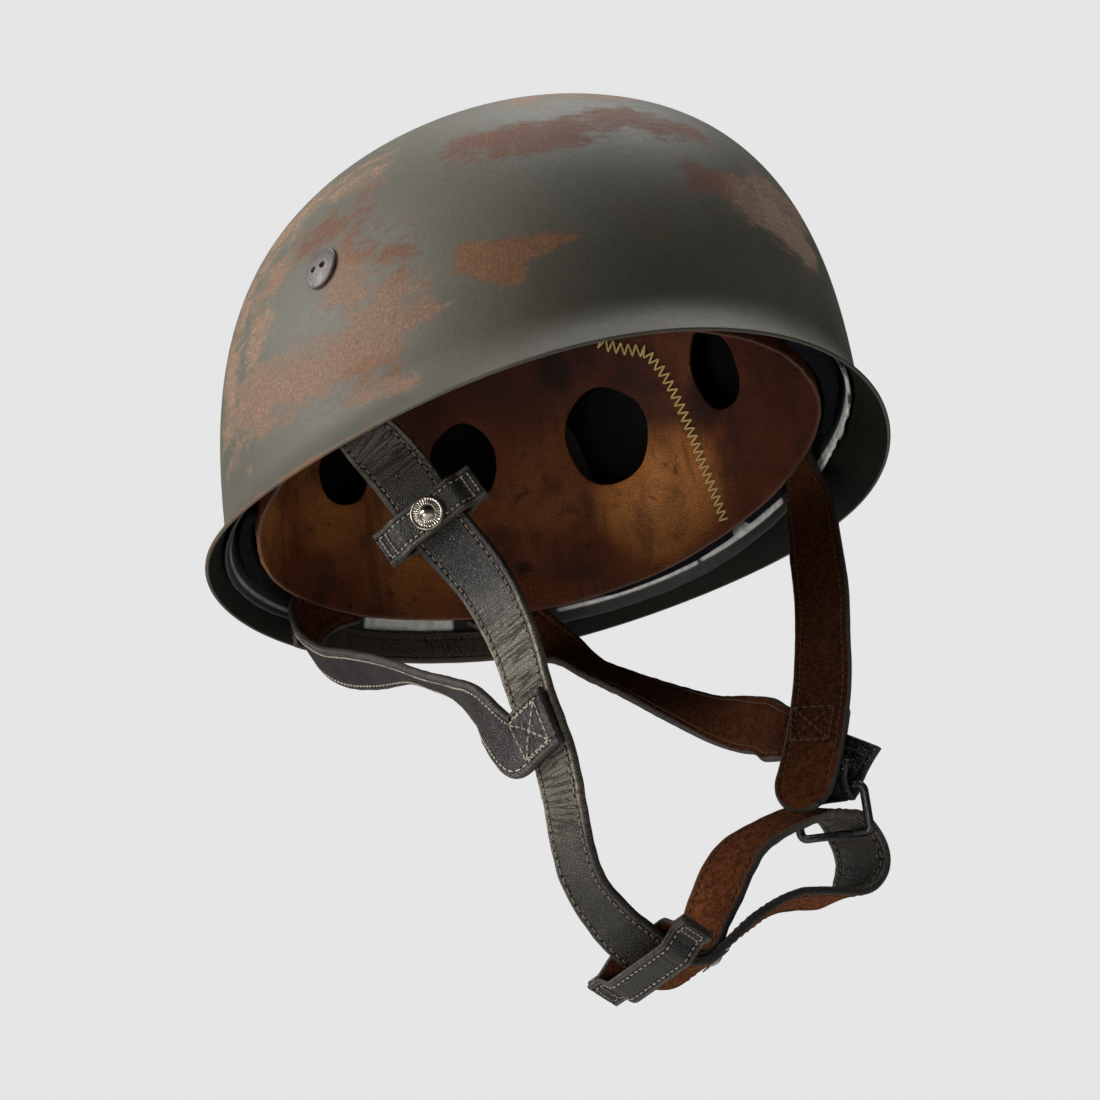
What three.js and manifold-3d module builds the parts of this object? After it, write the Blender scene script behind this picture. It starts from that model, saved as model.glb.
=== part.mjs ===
// Paratrooper helmet: a pressed steel bowl with a short flared rim, a leather liner on a metal
// hoop with foam pads, and a leather chin harness that hangs fastened below the rim.
// Millimetres, +Z up. The front of the helmet is -Y and the wearer's right is -X.
// The origin is the middle of the head opening, on the mean plane of the rim.
import * as THREE from 'three';
import { mergeVertices } from 'three/addons/utils/BufferGeometryUtils.js';
import Module from 'manifold-3d';

const wasm = await Module();
wasm.setup();

// Driving dimensions
const GAP = 0.3;
const SHELL = {
  halfWidth: 115.4, frontReach: 138.3, rearReach: 119.7, height: 145.8, wall: 1.5,
  squareness: 2.1, crown: 2.78, crownShift: 4.7, flare: 8.9, flareHeight: 18,
  levels: [0, 0.03, 0.06, 0.09, 0.14, 0.26, 0.4, 0.54, 0.68, 0.8, 0.9, 0.97],
};
const RIM_WAVE = { rise: 8.0, saddle: 1.3, brow: 3.4 };
const COLUMNS = 44;
const HOOP = {
  wall: 1.5, clearance: 1.4, height: 22, tongueHeight: 58, tongueSpan: 9,
  rises: [0, 0.12, 0.3, 0.55, 0.8, 1],
};
const LINER = {
  halfWidth: 104, frontReach: 115, rearReach: 109.5, top: 135, squareness: 2.15, crown: 2.5,
  wall: 1.5, levels: [0, 0.16, 0.34, 0.52, 0.69, 0.84, 0.95],
};

// Holes of the liner: degrees round from the front, height of the middle, and size
const LINER_HOLES = [
  { around: 0, up: 72, wide: 32, high: 32 },
  { around: 33, up: 71, wide: 32, high: 32 },
  { around: 65, up: 70, wide: 30, high: 32 },
  { around: 96, up: 71, wide: 28, high: 32 },
  { around: 131, up: 65, wide: 34, high: 35 },
  { around: 165, up: 64, wide: 28, high: 30 },
  { around: -164, up: 56, wide: 26, high: 22 },
  { around: -131, up: 65, wide: 32, high: 32 },
  { around: -96, up: 71, wide: 30, high: 32 },
  { around: -65, up: 70, wide: 30, high: 32 },
  { around: -33, up: 71, wide: 32, high: 32 },
];

const PAD = { aboveHoop: 4, height: 34, slack: 1.6, arc: 8, shares: [0, 0.2, 0.5, 1] };
const STRAP = { width: 22, thickness: 3, eased: 1 };
const BOLT = {
  head: 8, lip: 1.5, dome: 2.6, shank: 2.5, nut: 5.5, nutHeight: 2, reach: 9, spanner: 1, spannerAway: 2.4,
};
const KEEPER = {
  leather: 1.7, width: 14, ear: 5.4, upperLength: 42, upperSlot: 5,
  lowerLength: 50, lowerSlot: 10.8, lowerLift: 2.6,
};
const STUD = { radius: 6.2, height: 3.2, lowHeight: 1.4, lip: 0.7 };
const BUCKLE = {
  length: 32, height: 20, bar: 3, thickness: 2.2, outerCorner: 4, innerCorner: 1.5, tabWidth: 19,
};

// Where the four liner bolts sit: degrees round from the front, and height
const BOLTS = [
  { name: 'bolt_front_right', around: -66.7, up: 73.8 },
  { name: 'bolt_front_left', around: 66.7, up: 73.8 },
  { name: 'bolt_rear_right', around: -146, up: 70 },
  { name: 'bolt_rear_left', around: 146, up: 70 },
];

// The foam pads: degrees round from the front where each starts and ends
const PADS = [
  { name: 'pad_1', from: -18, to: 18 },
  { name: 'pad_2', from: 24, to: 66 },
  { name: 'pad_3', from: 88, to: 103 },
  { name: 'pad_4', from: 107, to: 140 },
  { name: 'pad_5', from: 168, to: 192 },
  { name: 'pad_6', from: 220, to: 253 },
  { name: 'pad_7', from: 261, to: 284 },
  { name: 'pad_8', from: 304, to: 336 },
];

// Straps: at is the middle of the strap, across points from its rear or upper edge to the other
const FRONT_RIGHT = [
  { at: [-100.7, -45, 27], across: [0.42, -0.9, 0.05] },
  { at: [-100.4, -45.3, 19], across: [0.42, -0.9, 0.08] },
  { at: [-96, -47.7, 10], across: [0.5, -0.86, 0.12] },
  { at: [-91, -50.5, 1], across: [0.72, -0.68, 0.2] },
  { at: [-85, -53, -10], across: [0.8, -0.58, 0.16] },
  { at: [-77, -58, -30], across: [0.66, -0.74, 0.2] },
  { at: [-67, -65, -52], across: [0.46, -0.88, 0.12] },
  { at: [-62, -71, -76], across: [0.3, -0.95, -0.08] },
  { at: [-60, -74, -98], across: [0.2, -0.95, -0.24] },
  { at: [-57, -77, -119], across: [0.17, -0.93, -0.33] },
  { at: [-55, -76, -135], across: [0.16, -0.92, -0.35] },
  { at: [-51, -70, -150], across: [0.18, -0.92, -0.33] },
  { at: [-45, -64, -162], across: [0.24, -0.93, -0.26] },
  { at: [-36, -61, -173], across: [0.36, -0.92, -0.1] },
  { at: [-26, -58, -181], across: [0.42, -0.9, 0.1] },
  { at: [-16, -56, -187], across: [0.36, -0.92, 0.14] },
  { at: [-8, -57, -188.5], across: [0.2, -0.97, 0.06] },
  { at: [-1, -59, -184], across: [0.2, -0.95, -0.18] },
  { at: [3, -60, -176], across: [0.25, -0.91, -0.34] },
  { at: [8, -62, -167], across: [0.3, -0.84, -0.45] },
  { at: [14, -64, -157], across: [0.3, -0.85, -0.44] },
  { at: [21, -65, -149.5], across: [0.12, -0.88, -0.47] },
  { at: [30, -66, -144.5], across: [-0.02, -0.89, -0.45] },
  { at: [40, -67.5, -140.5], across: [0, -0.9, -0.43] },
  { at: [50.5, -69.5, -138], across: [0.15, -0.92, -0.36] },
  { at: [60.5, -68.2, -139.7], across: [0.3, -0.9, -0.28] },
  { at: [66.3, -67.6, -146.5], across: [0.4, -0.88, -0.2] },
  { at: [68.3, -67.5, -156], across: [0.44, -0.86, -0.24] },
  { at: [63, -68, -165], across: [0.3, -0.93, -0.2] },
  { at: [54, -67, -169], across: [0.1, -0.99, -0.05] },
  { at: [43, -66, -169], across: [0, -1, 0] },
  { at: [33, -65, -170], across: [0, -1, 0.04] },
  { at: [23, -64, -174.5], across: [0.06, -0.98, 0.16] },
  { at: [13, -63, -180.5], across: [0.1, -0.96, 0.22] },
  { at: [4, -61.5, -187], across: [0.12, -0.97, 0.2] },
  { at: [-4, -60, -191.8], across: [0.22, -0.96, 0.14] },
  { at: [-13, -58, -192.6], across: [0.36, -0.92, 0.14] },
  { at: [-20, -60, -189.5], across: [0.42, -0.9, 0.12] },
];
const FRONT_LEFT = [
  { at: [105.6, -20.6, 34], across: [-0.19, -0.98, 0] },
  { at: [105.4, -20.6, 22], across: [-0.19, -0.98, 0] },
  { at: [103, -23.5, 8], across: [0, -0.99, 0.1] },
  { at: [97, -34, -8], across: [0.35, -0.92, 0.1] },
  { at: [89, -44, -27], across: [0.45, -0.89, 0] },
  { at: [81, -54, -49], across: [0.48, -0.87, -0.14] },
  { at: [73, -61, -69], across: [0.46, -0.86, -0.24] },
  { at: [65, -67, -89], across: [0.57, -0.77, -0.3] },
  { at: [57, -71, -106], across: [0.6, -0.74, -0.31] },
  { at: [48, -73.5, -124], across: [0.63, -0.7, -0.33] },
  { at: [38.5, -75, -139.5], across: [0.65, -0.68, -0.34] },
];
const REAR_RIGHT = [
  { at: [-29, 108.8, 8], across: [0, 0, -1] },
  { at: [-43.5, 103.8, 2], across: [0.06, 0, -1] },
  { at: [-55, 98, -8], across: [0.3, 0.1, -0.95] },
  { at: [-59, 88, -22], across: [0.6, 0.2, -0.77] },
  { at: [-58, 73, -34], across: [0.72, 0.3, -0.62] },
  { at: [-56, 54, -42], across: [0.78, 0.28, -0.56] },
  { at: [-55, 34, -49], across: [0.9, 0.19, -0.38] },
  { at: [-56, 14, -59], across: [0.9, 0.19, -0.38] },
  { at: [-58, -8, -71], across: [0.88, 0.2, -0.42] },
  { at: [-61, -30, -85], across: [0.6, 0.25, -0.75] },
  { at: [-65, -46, -95], across: [0.25, 0.1, -0.96] },
];
const REAR_LEFT = [
  { at: [29, 108.8, 8], across: [0, 0, -1] },
  { at: [42, 104.9, -1], across: [-0.35, 0.1, -0.93] },
  { at: [51.5, 96, -14], across: [-0.85, 0.2, -0.45] },
  { at: [56, 84, -25.5], across: [-1, 0.03, 0.02] },
  { at: [57, 68, -36.5], across: [-1, 0.03, -0.05] },
  { at: [56.5, 36, -55.5], across: [-0.98, 0.11, -0.17] },
  { at: [55.5, 1, -76], across: [-0.87, 0.26, -0.43] },
  { at: [54.3, -30, -91.5], across: [-0.35, 0.44, -0.82] },
  { at: [54, -42, -96.5], across: [-0.3, 0.25, -0.92] },
];
const BUCKLE_TAB = [
  { at: [55.3, -72.8, -120.8], across: [0.6, -0.74, -0.31] },
  { at: [53.1, -73.7, -126.6], across: [0.58, -0.76, -0.3] },
  { at: [53.9, -73.4, -131], across: [0.45, -0.86, -0.2] },
  { at: [57.3, -71.2, -134.2], across: [0.42, -0.88, -0.17] },
  { at: [60.2, -69.8, -130.6], across: [0.42, -0.88, -0.17] },
  { at: [62.6, -72.8, -125.5], across: [0.42, -0.88, -0.17] },
  { at: [66.3, -75.6, -119.4], across: [0.42, -0.88, -0.17] },
  { at: [70.2, -78.2, -114.2], across: [0.42, -0.88, -0.17] },
];
const NAPE = { from: 150, to: 210, step: 6, radius: 116.8, up: -9.5, width: 13, thickness: 2.4 };

// Small helpers
const radians = (degrees) => degrees * Math.PI / 180;
const vector = (list) => new THREE.Vector3(...list);
const blend = (a, b, t) => a + (b - a) * t;

function paint(color, roughness, metalness = 0) {
  return new THREE.MeshStandardMaterial({ color, roughness, metalness });
}

function meshOf(name, geometry, material) {
  const mesh = new THREE.Mesh(geometry, material);
  mesh.name = name;
  return mesh;
}

// A closed body from vertices and triangles, as an indexed geometry
function geometryOf(points, triangles) {
  const geometry = new THREE.BufferGeometry();
  geometry.setAttribute('position', new THREE.Float32BufferAttribute(points.flatMap((p) => p.toArray()), 3));
  geometry.setIndex(triangles.flat());
  return geometry;
}

// Skin of a tube through rings of points, each ring the same way round, closed by flat caps
function loft(rings) {
  const count = rings[0].length;
  const points = rings.flat();
  const triangles = [];
  for (let i = 0; i + 1 < rings.length; i++) {
    for (let j = 0; j < count; j++) {
      const a = i * count + j;
      const b = i * count + (j + 1) % count;
      triangles.push([a, b, b + count], [a, b + count, a + count]);
    }
  }
  const last = (rings.length - 1) * count;
  for (let j = 1; j + 1 < count; j++) {
    triangles.push([0, j + 1, j], [last, last + j, last + j + 1]);
  }
  return geometryOf(points, triangles);
}

// Boolean work on closed geometries
function solidOf(geometry) {
  const bare = geometry.clone();
  bare.deleteAttribute('normal');
  bare.deleteAttribute('uv');
  const merged = mergeVertices(bare, 1e-4);
  return new wasm.Manifold(new wasm.Mesh({
    numProp: 3,
    vertProperties: new Float32Array(merged.attributes.position.array),
    triVerts: new Uint32Array(merged.index.array),
  }));
}

function geometryFrom(solid) {
  const mesh = solid.getMesh();
  const geometry = new THREE.BufferGeometry();
  geometry.setAttribute('position', new THREE.BufferAttribute(new Float32Array(mesh.vertProperties), 3));
  geometry.setIndex(new THREE.BufferAttribute(new Uint32Array(mesh.triVerts), 1));
  return geometry;
}

function cut(body, tools) {
  return geometryFrom(tools.reduce((solid, tool) => solid.subtract(solidOf(tool)), solidOf(body)));
}

// Turn and move a geometry so that its Z axis points along a direction from a point
function stand(geometry, point, direction) {
  const turn = new THREE.Quaternion().setFromUnitVectors(new THREE.Vector3(0, 0, 1), direction);
  return geometry.clone().applyQuaternion(turn).translate(point.x, point.y, point.z);
}

// Plan outline shared by the bowl and the liner: an oval, longer in front than behind
function planRadius(around, form) {
  const reach = blend(form.rearReach, form.frontReach, 0.5 + 0.5 * Math.cos(around));
  const side = Math.abs(Math.sin(around) / form.halfWidth) ** form.squareness;
  const length = Math.abs(Math.cos(around) / reach) ** form.squareness;
  return (side + length) ** (-1 / form.squareness);
}

// The rim rises over the brow, is level at the sides and dips at the nape
function rimHeight(around) {
  const { rise, saddle, brow } = RIM_WAVE;
  return rise * Math.cos(around) + saddle * Math.cos(2 * around) + brow * Math.cos(3 * around);
}

// Outer face of the bowl: level 0 is the rim and level 1 the crown
function shellPoint(around, level) {
  const rim = rimHeight(around);
  const up = blend(rim, SHELL.height, level);
  const draw = (1 - level ** SHELL.crown) ** (1 / SHELL.crown);
  const flare = THREE.MathUtils.clamp(1 - (up - rim) / SHELL.flareHeight, 0, 1);
  const radius = planRadius(around, SHELL) * draw + SHELL.flare * flare ** 2;
  return new THREE.Vector3(
    radius * Math.sin(around), -radius * Math.cos(around) - SHELL.crownShift * level, up);
}

function shellLevel(around, up) {
  const rim = rimHeight(around);
  return THREE.MathUtils.clamp((up - rim) / (SHELL.height - rim), 0, 0.999);
}

// Outward normal of a surface given as a function of angle and level
function normalOf(surface, around, level) {
  const step = 1e-3;
  const low = Math.max(level - step, 0);
  const high = Math.min(level + step, 0.9995);
  const sideways = surface(around + step, level).sub(surface(around - step, level));
  const upward = surface(around, high).sub(surface(around, low));
  return sideways.cross(upward).normalize();
}

function offsetSurface(surface, inward) {
  return (around, level) =>
    surface(around, level).addScaledVector(normalOf(surface, around, level), -inward);
}

// A thin dome: two skins of the same levels, joined at the edge, each closed at the crown
function domeWall(outer, inner, levels, crowns) {
  const columns = COLUMNS;
  const points = [];
  const triangles = [];
  const skin = (surface, crown, flip) => {
    const first = points.length;
    for (const level of levels) {
      for (let j = 0; j < columns; j++) points.push(surface(2 * Math.PI * j / columns, level));
    }
    points.push(crown);
    const pole = points.length - 1;
    const add = (a, b, c) => triangles.push(flip ? [a, c, b] : [a, b, c]);
    for (let j = 0; j < columns; j++) {
      const k = (j + 1) % columns;
      for (let i = 0; i + 1 < levels.length; i++) {
        const row = first + i * columns;
        add(row + j, row + k, row + columns + k);
        add(row + j, row + columns + k, row + columns + j);
      }
      const top = first + (levels.length - 1) * columns;
      add(top + j, top + k, pole);
    }
    return first;
  };
  const outerRim = skin(outer, crowns[0], false);
  const innerRim = skin(inner, crowns[1], true);
  for (let j = 0; j < columns; j++) {
    const k = (j + 1) % columns;
    triangles.push([outerRim + j, innerRim + j, innerRim + k], [outerRim + j, innerRim + k, outerRim + k]);
  }
  return geometryOf(points, triangles);
}

const shellInner = offsetSurface(shellPoint, SHELL.wall);

function boltSeat(bolt) {
  const around = radians(bolt.around);
  const level = shellLevel(around, bolt.up);
  return { point: shellPoint(around, level), normal: normalOf(shellPoint, around, level) };
}

function cylinderAlong(radius, from, to, sides) {
  const geometry = new THREE.CylinderGeometry(radius, radius, to - from, sides);
  return geometry.rotateX(Math.PI / 2).translate(0, 0, (from + to) / 2);
}

// The clear hole for a bolt's shank, through the bowl and the hoop
function boltBore(bolt) {
  const seat = boltSeat(bolt);
  return stand(cylinderAlong(BOLT.shank + 2 * GAP, -BOLT.reach, BOLT.reach, 10), seat.point, seat.normal);
}

// The bowl: closely spaced levels at the flare and evenly spaced ones above it
function makeShell() {
  const crown = new THREE.Vector3(0, -SHELL.crownShift, SHELL.height);
  const under = crown.clone().setZ(SHELL.height - SHELL.wall);
  const wall = domeWall(shellPoint, shellInner, SHELL.levels, [crown, under]);
  return meshOf('shell', cut(wall, BOLTS.map(boltBore)), paint('#5f6459', 0.45, 0.4));
}

// A liner bolt: low domed head with two spanner holes, shank, and a round nut inside
function makeBolt(bolt) {
  const { head, lip, dome, shank, nut, nutHeight, reach, spanner, spannerAway } = BOLT;
  const profile = [
    [0, -reach], [nut, -reach], [nut, nutHeight - reach], [shank, nutHeight - reach], [shank, GAP],
    [head, GAP], [head, lip], [head * 0.8, 0.8 * dome], [0, dome],
  ].map(([x, y]) => new THREE.Vector2(x, y));
  const body = new THREE.LatheGeometry(profile, 12).rotateX(Math.PI / 2);
  const drill = cylinderAlong(spanner, lip - GAP, 2 * dome, 6);
  const holes = [-spannerAway, spannerAway].map((x) => drill.clone().translate(x, 0, 0));
  const seat = boltSeat(bolt);
  const placed = stand(cut(body, holes), seat.point, seat.normal);
  return meshOf(bolt.name, placed, paint('#8d817b', 0.35, 0.8));
}

// The hoop follows the inside of the bowl; its upper edge rises to a tongue at each bolt
const hoopFoot = (y) => 10.5 - 0.1 * y;

function hoopTop(around) {
  const reach = BOLTS.map((bolt) => {
    const turned = around - radians(bolt.around);
    const away = Math.atan2(Math.sin(turned), Math.cos(turned));
    return Math.exp(-((away / radians(HOOP.tongueSpan)) ** 4));
  });
  return HOOP.height + HOOP.tongueHeight * Math.max(...reach);
}

function hoopPoint(around, rise, depth) {
  const foot = hoopFoot(-planRadius(around, SHELL) * Math.cos(around));
  const up = foot + hoopTop(around) * rise;
  return offsetSurface(shellPoint, SHELL.wall + depth)(around, shellLevel(around, up));
}

function makeHoop() {
  const up = HOOP.rises.map((rise) => [HOOP.clearance + HOOP.wall, rise]);
  const down = HOOP.rises.map((rise) => [HOOP.clearance, rise]).reverse();
  const ring = [...up, ...down];
  const points = [];
  const triangles = [];
  for (let i = 0; i < COLUMNS; i++) {
    ring.forEach(([depth, rise]) => points.push(hoopPoint(2 * Math.PI * i / COLUMNS, rise, depth)));
  }
  for (let i = 0; i < COLUMNS; i++) {
    for (let j = 0; j < ring.length; j++) {
      const a = i * ring.length + j;
      const b = i * ring.length + (j + 1) % ring.length;
      const c = ((i + 1) % COLUMNS) * ring.length;
      const d = c + (j + 1) % ring.length;
      triangles.push([a, b, d], [a, d, c + j]);
    }
  }
  const band = cut(geometryOf(points, triangles), BOLTS.map(boltBore));
  return meshOf('liner_hoop', band, paint('#c9c5be', 0.6, 0.2));
}

// The leather cap of the liner, hung inside the hoop, with a ring of oval holes
const linerFoot = (y) => 12.5 - 0.12 * y;

function linerPoint(around, level) {
  const plan = planRadius(around, LINER);
  const up = blend(linerFoot(-plan * Math.cos(around)), LINER.top, level);
  const draw = (1 - level ** LINER.crown) ** (1 / LINER.crown);
  return new THREE.Vector3(plan * draw * Math.sin(around), -plan * draw * Math.cos(around), up);
}

function linerLevel(around, up) {
  const foot = linerFoot(-planRadius(around, LINER) * Math.cos(around));
  return THREE.MathUtils.clamp((up - foot) / (LINER.top - foot), 0, 0.999);
}

function makeLiner() {
  const crown = new THREE.Vector3(0, 0, LINER.top);
  const under = new THREE.Vector3(0, 0, LINER.top - LINER.wall);
  const wall = domeWall(linerPoint, offsetSurface(linerPoint, LINER.wall), LINER.levels, [crown, under]);
  const holes = LINER_HOLES.map((hole) => {
    const around = radians(hole.around);
    const outward = new THREE.Vector3(Math.sin(around), -Math.cos(around), 0);
    const sideways = new THREE.Vector3(Math.cos(around), Math.sin(around), 0);
    const basis = new THREE.Matrix4().makeBasis(sideways, new THREE.Vector3(0, 0, 1), outward);
    basis.setPosition(linerPoint(around, linerLevel(around, hole.up)));
    return cylinderAlong(hole.wide / 2, -20, 20, 10).scale(1, hole.high / hole.wide, 1).applyMatrix4(basis);
  });
  return meshOf('liner', cut(wall, holes), paint('#6b4023', 0.7));
}

// A foam pad fills the space between the hoop and the leather over its arc
function makePad(pad) {
  const steps = Math.max(2, Math.round((pad.to - pad.from) / PAD.arc));
  const rings = [];
  for (let i = 0; i <= steps; i++) {
    const around = radians(blend(pad.from, pad.to, i / steps));
    const foot = hoopFoot(-planRadius(around, SHELL) * Math.cos(around)) + PAD.aboveHoop;
    const hoopFace = offsetSurface(shellPoint, SHELL.wall + HOOP.clearance + HOOP.wall + PAD.slack);
    const leatherFace = offsetSurface(linerPoint, -2 * GAP);
    const ups = PAD.shares.map((t) => foot + PAD.height * t);
    const outside = ups.map((up) => hoopFace(around, shellLevel(around, up)));
    const inside = ups.map((up) => leatherFace(around, linerLevel(around, up)));
    rings.push([...outside.reverse(), ...inside]);
  }
  return meshOf(pad.name, loft(rings), paint('#23262c', 0.95));
}

// A strap: smooth frames through its rows, then a slim section with eased edges
function strapFrames(rows, steps) {
  const path = new THREE.CatmullRomCurve3(rows.map((row) => vector(row.at)), false, 'centripetal');
  const turn = new THREE.CatmullRomCurve3(rows.map((row) => vector(row.across)), false, 'catmullrom', 0.5);
  const frames = [];
  for (let i = 0; i <= steps; i++) {
    const t = i / steps;
    const along = path.getTangent(t);
    const across = turn.getPoint(t);
    across.addScaledVector(along, -across.dot(along)).normalize();
    frames.push({ at: path.getPoint(t), along, across, face: along.clone().cross(across) });
  }
  return frames;
}

function strapRing(frame, width, thickness) {
  const side = width / 2;
  const skin = thickness / 2;
  const { eased } = STRAP;
  const outline = [
    [-side, -skin / 2], [-side + eased, -skin], [side - eased, -skin], [side, -skin / 2],
    [side, skin / 2], [side - eased, skin], [-side + eased, skin], [-side, skin / 2],
  ];
  return outline.map(([x, y]) =>
    frame.at.clone().addScaledVector(frame.across, x).addScaledVector(frame.face, y));
}

function makeStrap(name, frames, widthAt, material, thickness = STRAP.thickness) {
  const last = frames.length - 1;
  const rings = frames.map((frame, i) => strapRing(frame, widthAt(i / last), thickness));
  return meshOf(name, loft(rings), material);
}

// The end of a rear strap lies flat on the outer face of a front strap, to be sewn there
function sewnEnd(frames, point, lift) {
  const seat = nearest(frames, point);
  const place = (x) => seat.at.clone().addScaledVector(seat.face, lift).addScaledVector(seat.across, x);
  return [-14, -5, 3, 9.5].map((x) => ({ at: place(x).toArray(), across: seat.along.toArray() }));
}

// A keeper: two layers sewn together at their ears, with a slot for the straps
function keeperGeometry(length, slotWidth, slotHeight) {
  const { leather, width, ear } = KEEPER;
  const half = length / 2;
  const high = slotHeight / 2 + leather;
  const shape = new THREE.Shape([
    [-half, -leather], [-half + ear, -leather], [-slotWidth / 2, -high], [slotWidth / 2, -high],
    [half - ear, -leather], [half, -leather], [half, leather], [half - ear, leather],
    [slotWidth / 2, high], [-slotWidth / 2, high], [-half + ear, leather], [-half, leather],
  ].map(([x, y]) => new THREE.Vector2(x, y)));
  const w = slotWidth / 2;
  const h = slotHeight / 2;
  const slot = [[-w, -h], [-w, h], [w, h], [w, -h]].map(([x, y]) => new THREE.Vector2(x, y));
  shape.holes.push(new THREE.Path(slot));
  return new THREE.ExtrudeGeometry(shape, { depth: width, bevelEnabled: false }).translate(0, 0, -width / 2);
}

// Place a geometry so that X runs across the strap, Y out of its face and Z along it
function placeOnStrap(geometry, frame, lift) {
  const basis = new THREE.Matrix4().makeBasis(frame.across, frame.face, frame.along);
  basis.setPosition(frame.at.clone().addScaledVector(frame.face, lift));
  return geometry.clone().applyMatrix4(basis);
}

function makeStud(name, point, direction, height) {
  const { radius, lip } = STUD;
  const profile = [
    [0, 0], [radius, 0], [radius, lip], [radius * 0.86, 1.5 * lip],
    [radius * 0.5, height * 0.8], [0, height],
  ].map(([x, y]) => new THREE.Vector2(x, y));
  const body = new THREE.LatheGeometry(profile, 14).rotateX(Math.PI / 2);
  return meshOf(name, stand(body, point, direction), paint('#cfcac2', 0.25, 1));
}

function nearest(frames, point) {
  const target = vector(point);
  return frames.reduce((best, frame) =>
    (frame.at.distanceTo(target) < best.at.distanceTo(target) ? frame : best));
}

// The harness
const grain = paint('#5b564f', 0.55);
const rightFrames = strapFrames(FRONT_RIGHT, 78);
const leftFrames = strapFrames(FRONT_LEFT, 30);

function makeHarness() {
  const evenWidth = () => STRAP.width;
  const taper = (t) => STRAP.width * (t < 0.97 ? 1 : 0.92);
  const tongue = (t) => STRAP.width * Math.sqrt(1 - THREE.MathUtils.clamp((t - 0.93) / 0.075, 0, 0.98) ** 2);
  const rightSeat = sewnEnd(rightFrames, [-60, -75, -106], STRAP.thickness + 2 * GAP);
  const leftSeat = sewnEnd(leftFrames, [57, -71, -106], -STRAP.thickness - 7 * GAP);
  const rearRight = strapFrames([...REAR_RIGHT, ...rightSeat], 36);
  const rearLeft = strapFrames([...REAR_LEFT, ...leftSeat], 36);
  return [
    makeStrap('strap_front_right', rightFrames, taper, grain),
    makeStrap('strap_front_left', leftFrames, tongue, grain),
    makeStrap('strap_rear_right', rearRight, evenWidth, grain),
    makeStrap('strap_rear_left', rearLeft, evenWidth, grain),
  ];
}

function makeNape() {
  const rows = [];
  for (let degrees = NAPE.from; degrees <= NAPE.to; degrees += NAPE.step) {
    const around = radians(degrees);
    rows.push({
      at: [NAPE.radius * Math.sin(around), -NAPE.radius * Math.cos(around), NAPE.up],
      across: [0, 0, -1],
    });
  }
  return makeStrap('nape_strap', strapFrames(rows, 16), () => NAPE.width, grain, NAPE.thickness);
}

function makeKeepers() {
  const upper = nearest(rightFrames, [-79, -58, -27]);
  const lower = nearest(rightFrames, [-20, -57, -185]);
  const upperBody = keeperGeometry(KEEPER.upperLength, STRAP.width + 6 * GAP, KEEPER.upperSlot);
  const lowerBody = keeperGeometry(KEEPER.lowerLength, STRAP.width + 15 * GAP, KEEPER.lowerSlot);
  const studLift = KEEPER.upperSlot / 2 + KEEPER.leather + GAP;
  const upperStud = upper.at.clone().addScaledVector(upper.face, studLift);
  return [
    meshOf('keeper_upper', placeOnStrap(upperBody, upper, 0), grain),
    makeStud('press_stud_upper', upperStud, upper.face, STUD.height),
    meshOf('keeper_lower', placeOnStrap(lowerBody, lower, KEEPER.lowerLift), grain),
  ];
}

function makeLowerStud() {
  const seat = nearest(rightFrames.slice(62), [2, -61, -188]);
  const outward = seat.face.clone().negate();
  const point = seat.at.clone().addScaledVector(outward, STRAP.thickness / 2 + 2 * GAP);
  return makeStud('press_stud_lower', point, outward, STUD.lowHeight);
}

// The buckle: a flat rectangular frame that the chin strap turns round, and its leather tab
const BUCKLE_BAR = vector([0.42, -0.88, -0.17]).normalize();
const BUCKLE_FOOT = vector([59, -67.3, -146.2]);
const BUCKLE_RISE = vector([-0.15, -0.28, 0.95]);

function buckleBasis() {
  const rise = BUCKLE_RISE.clone().addScaledVector(BUCKLE_BAR, -BUCKLE_RISE.dot(BUCKLE_BAR)).normalize();
  const out = BUCKLE_BAR.clone().cross(rise);
  return new THREE.Matrix4().makeBasis(BUCKLE_BAR, rise, out).setPosition(BUCKLE_FOOT);
}

function makeBuckle() {
  const { length, height, bar, thickness, outerCorner, innerCorner, tabWidth } = BUCKLE;
  const outline = (half, low, high, r) => {
    const shape = new THREE.Shape();
    shape.absarc(half - r, low + r, r, -Math.PI / 2, 0);
    shape.absarc(half - r, high - r, r, 0, Math.PI / 2);
    shape.absarc(-half + r, high - r, r, Math.PI / 2, Math.PI);
    shape.absarc(-half + r, low + r, r, Math.PI, 1.5 * Math.PI);
    return shape;
  };
  const frame = outline(length / 2, -bar / 2, height - bar / 2, outerCorner);
  frame.holes.push(outline(length / 2 - bar, bar / 2, height - 1.5 * bar, innerCorner));
  const body = new THREE.ExtrudeGeometry(frame, { depth: thickness, bevelEnabled: false, curveSegments: 4 })
    .translate(0, 0, -thickness / 2).applyMatrix4(buckleBasis());
  const tab = strapFrames(BUCKLE_TAB, 21);
  return [
    meshOf('buckle_frame', body, paint('#15151a', 0.3, 0.6)),
    makeStrap('buckle_tab', tab, () => tabWidth, grain, thickness),
  ];
}

// Assembly
const helmet = new THREE.Group();
helmet.add(makeShell(), ...BOLTS.map(makeBolt), makeHoop(), ...PADS.map(makePad), makeLiner());
helmet.add(...makeHarness(), makeNape(), ...makeKeepers(), makeLowerStud(), ...makeBuckle());

export default helmet;
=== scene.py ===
# %% [markdown]
# # A worn steel paratrooper helmet
# The solid model of this helmet is loaded as a fixed frame. Each cell below replaces one kind of
# piece by a finer surface in the same place, and gives it the finish of the real material.
# All shapes are worked out in millimetres, as a maker would measure them, and turned into
# metres only when the points go into a mesh.

import bpy
import numpy as np
from mathutils import Matrix


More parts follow.
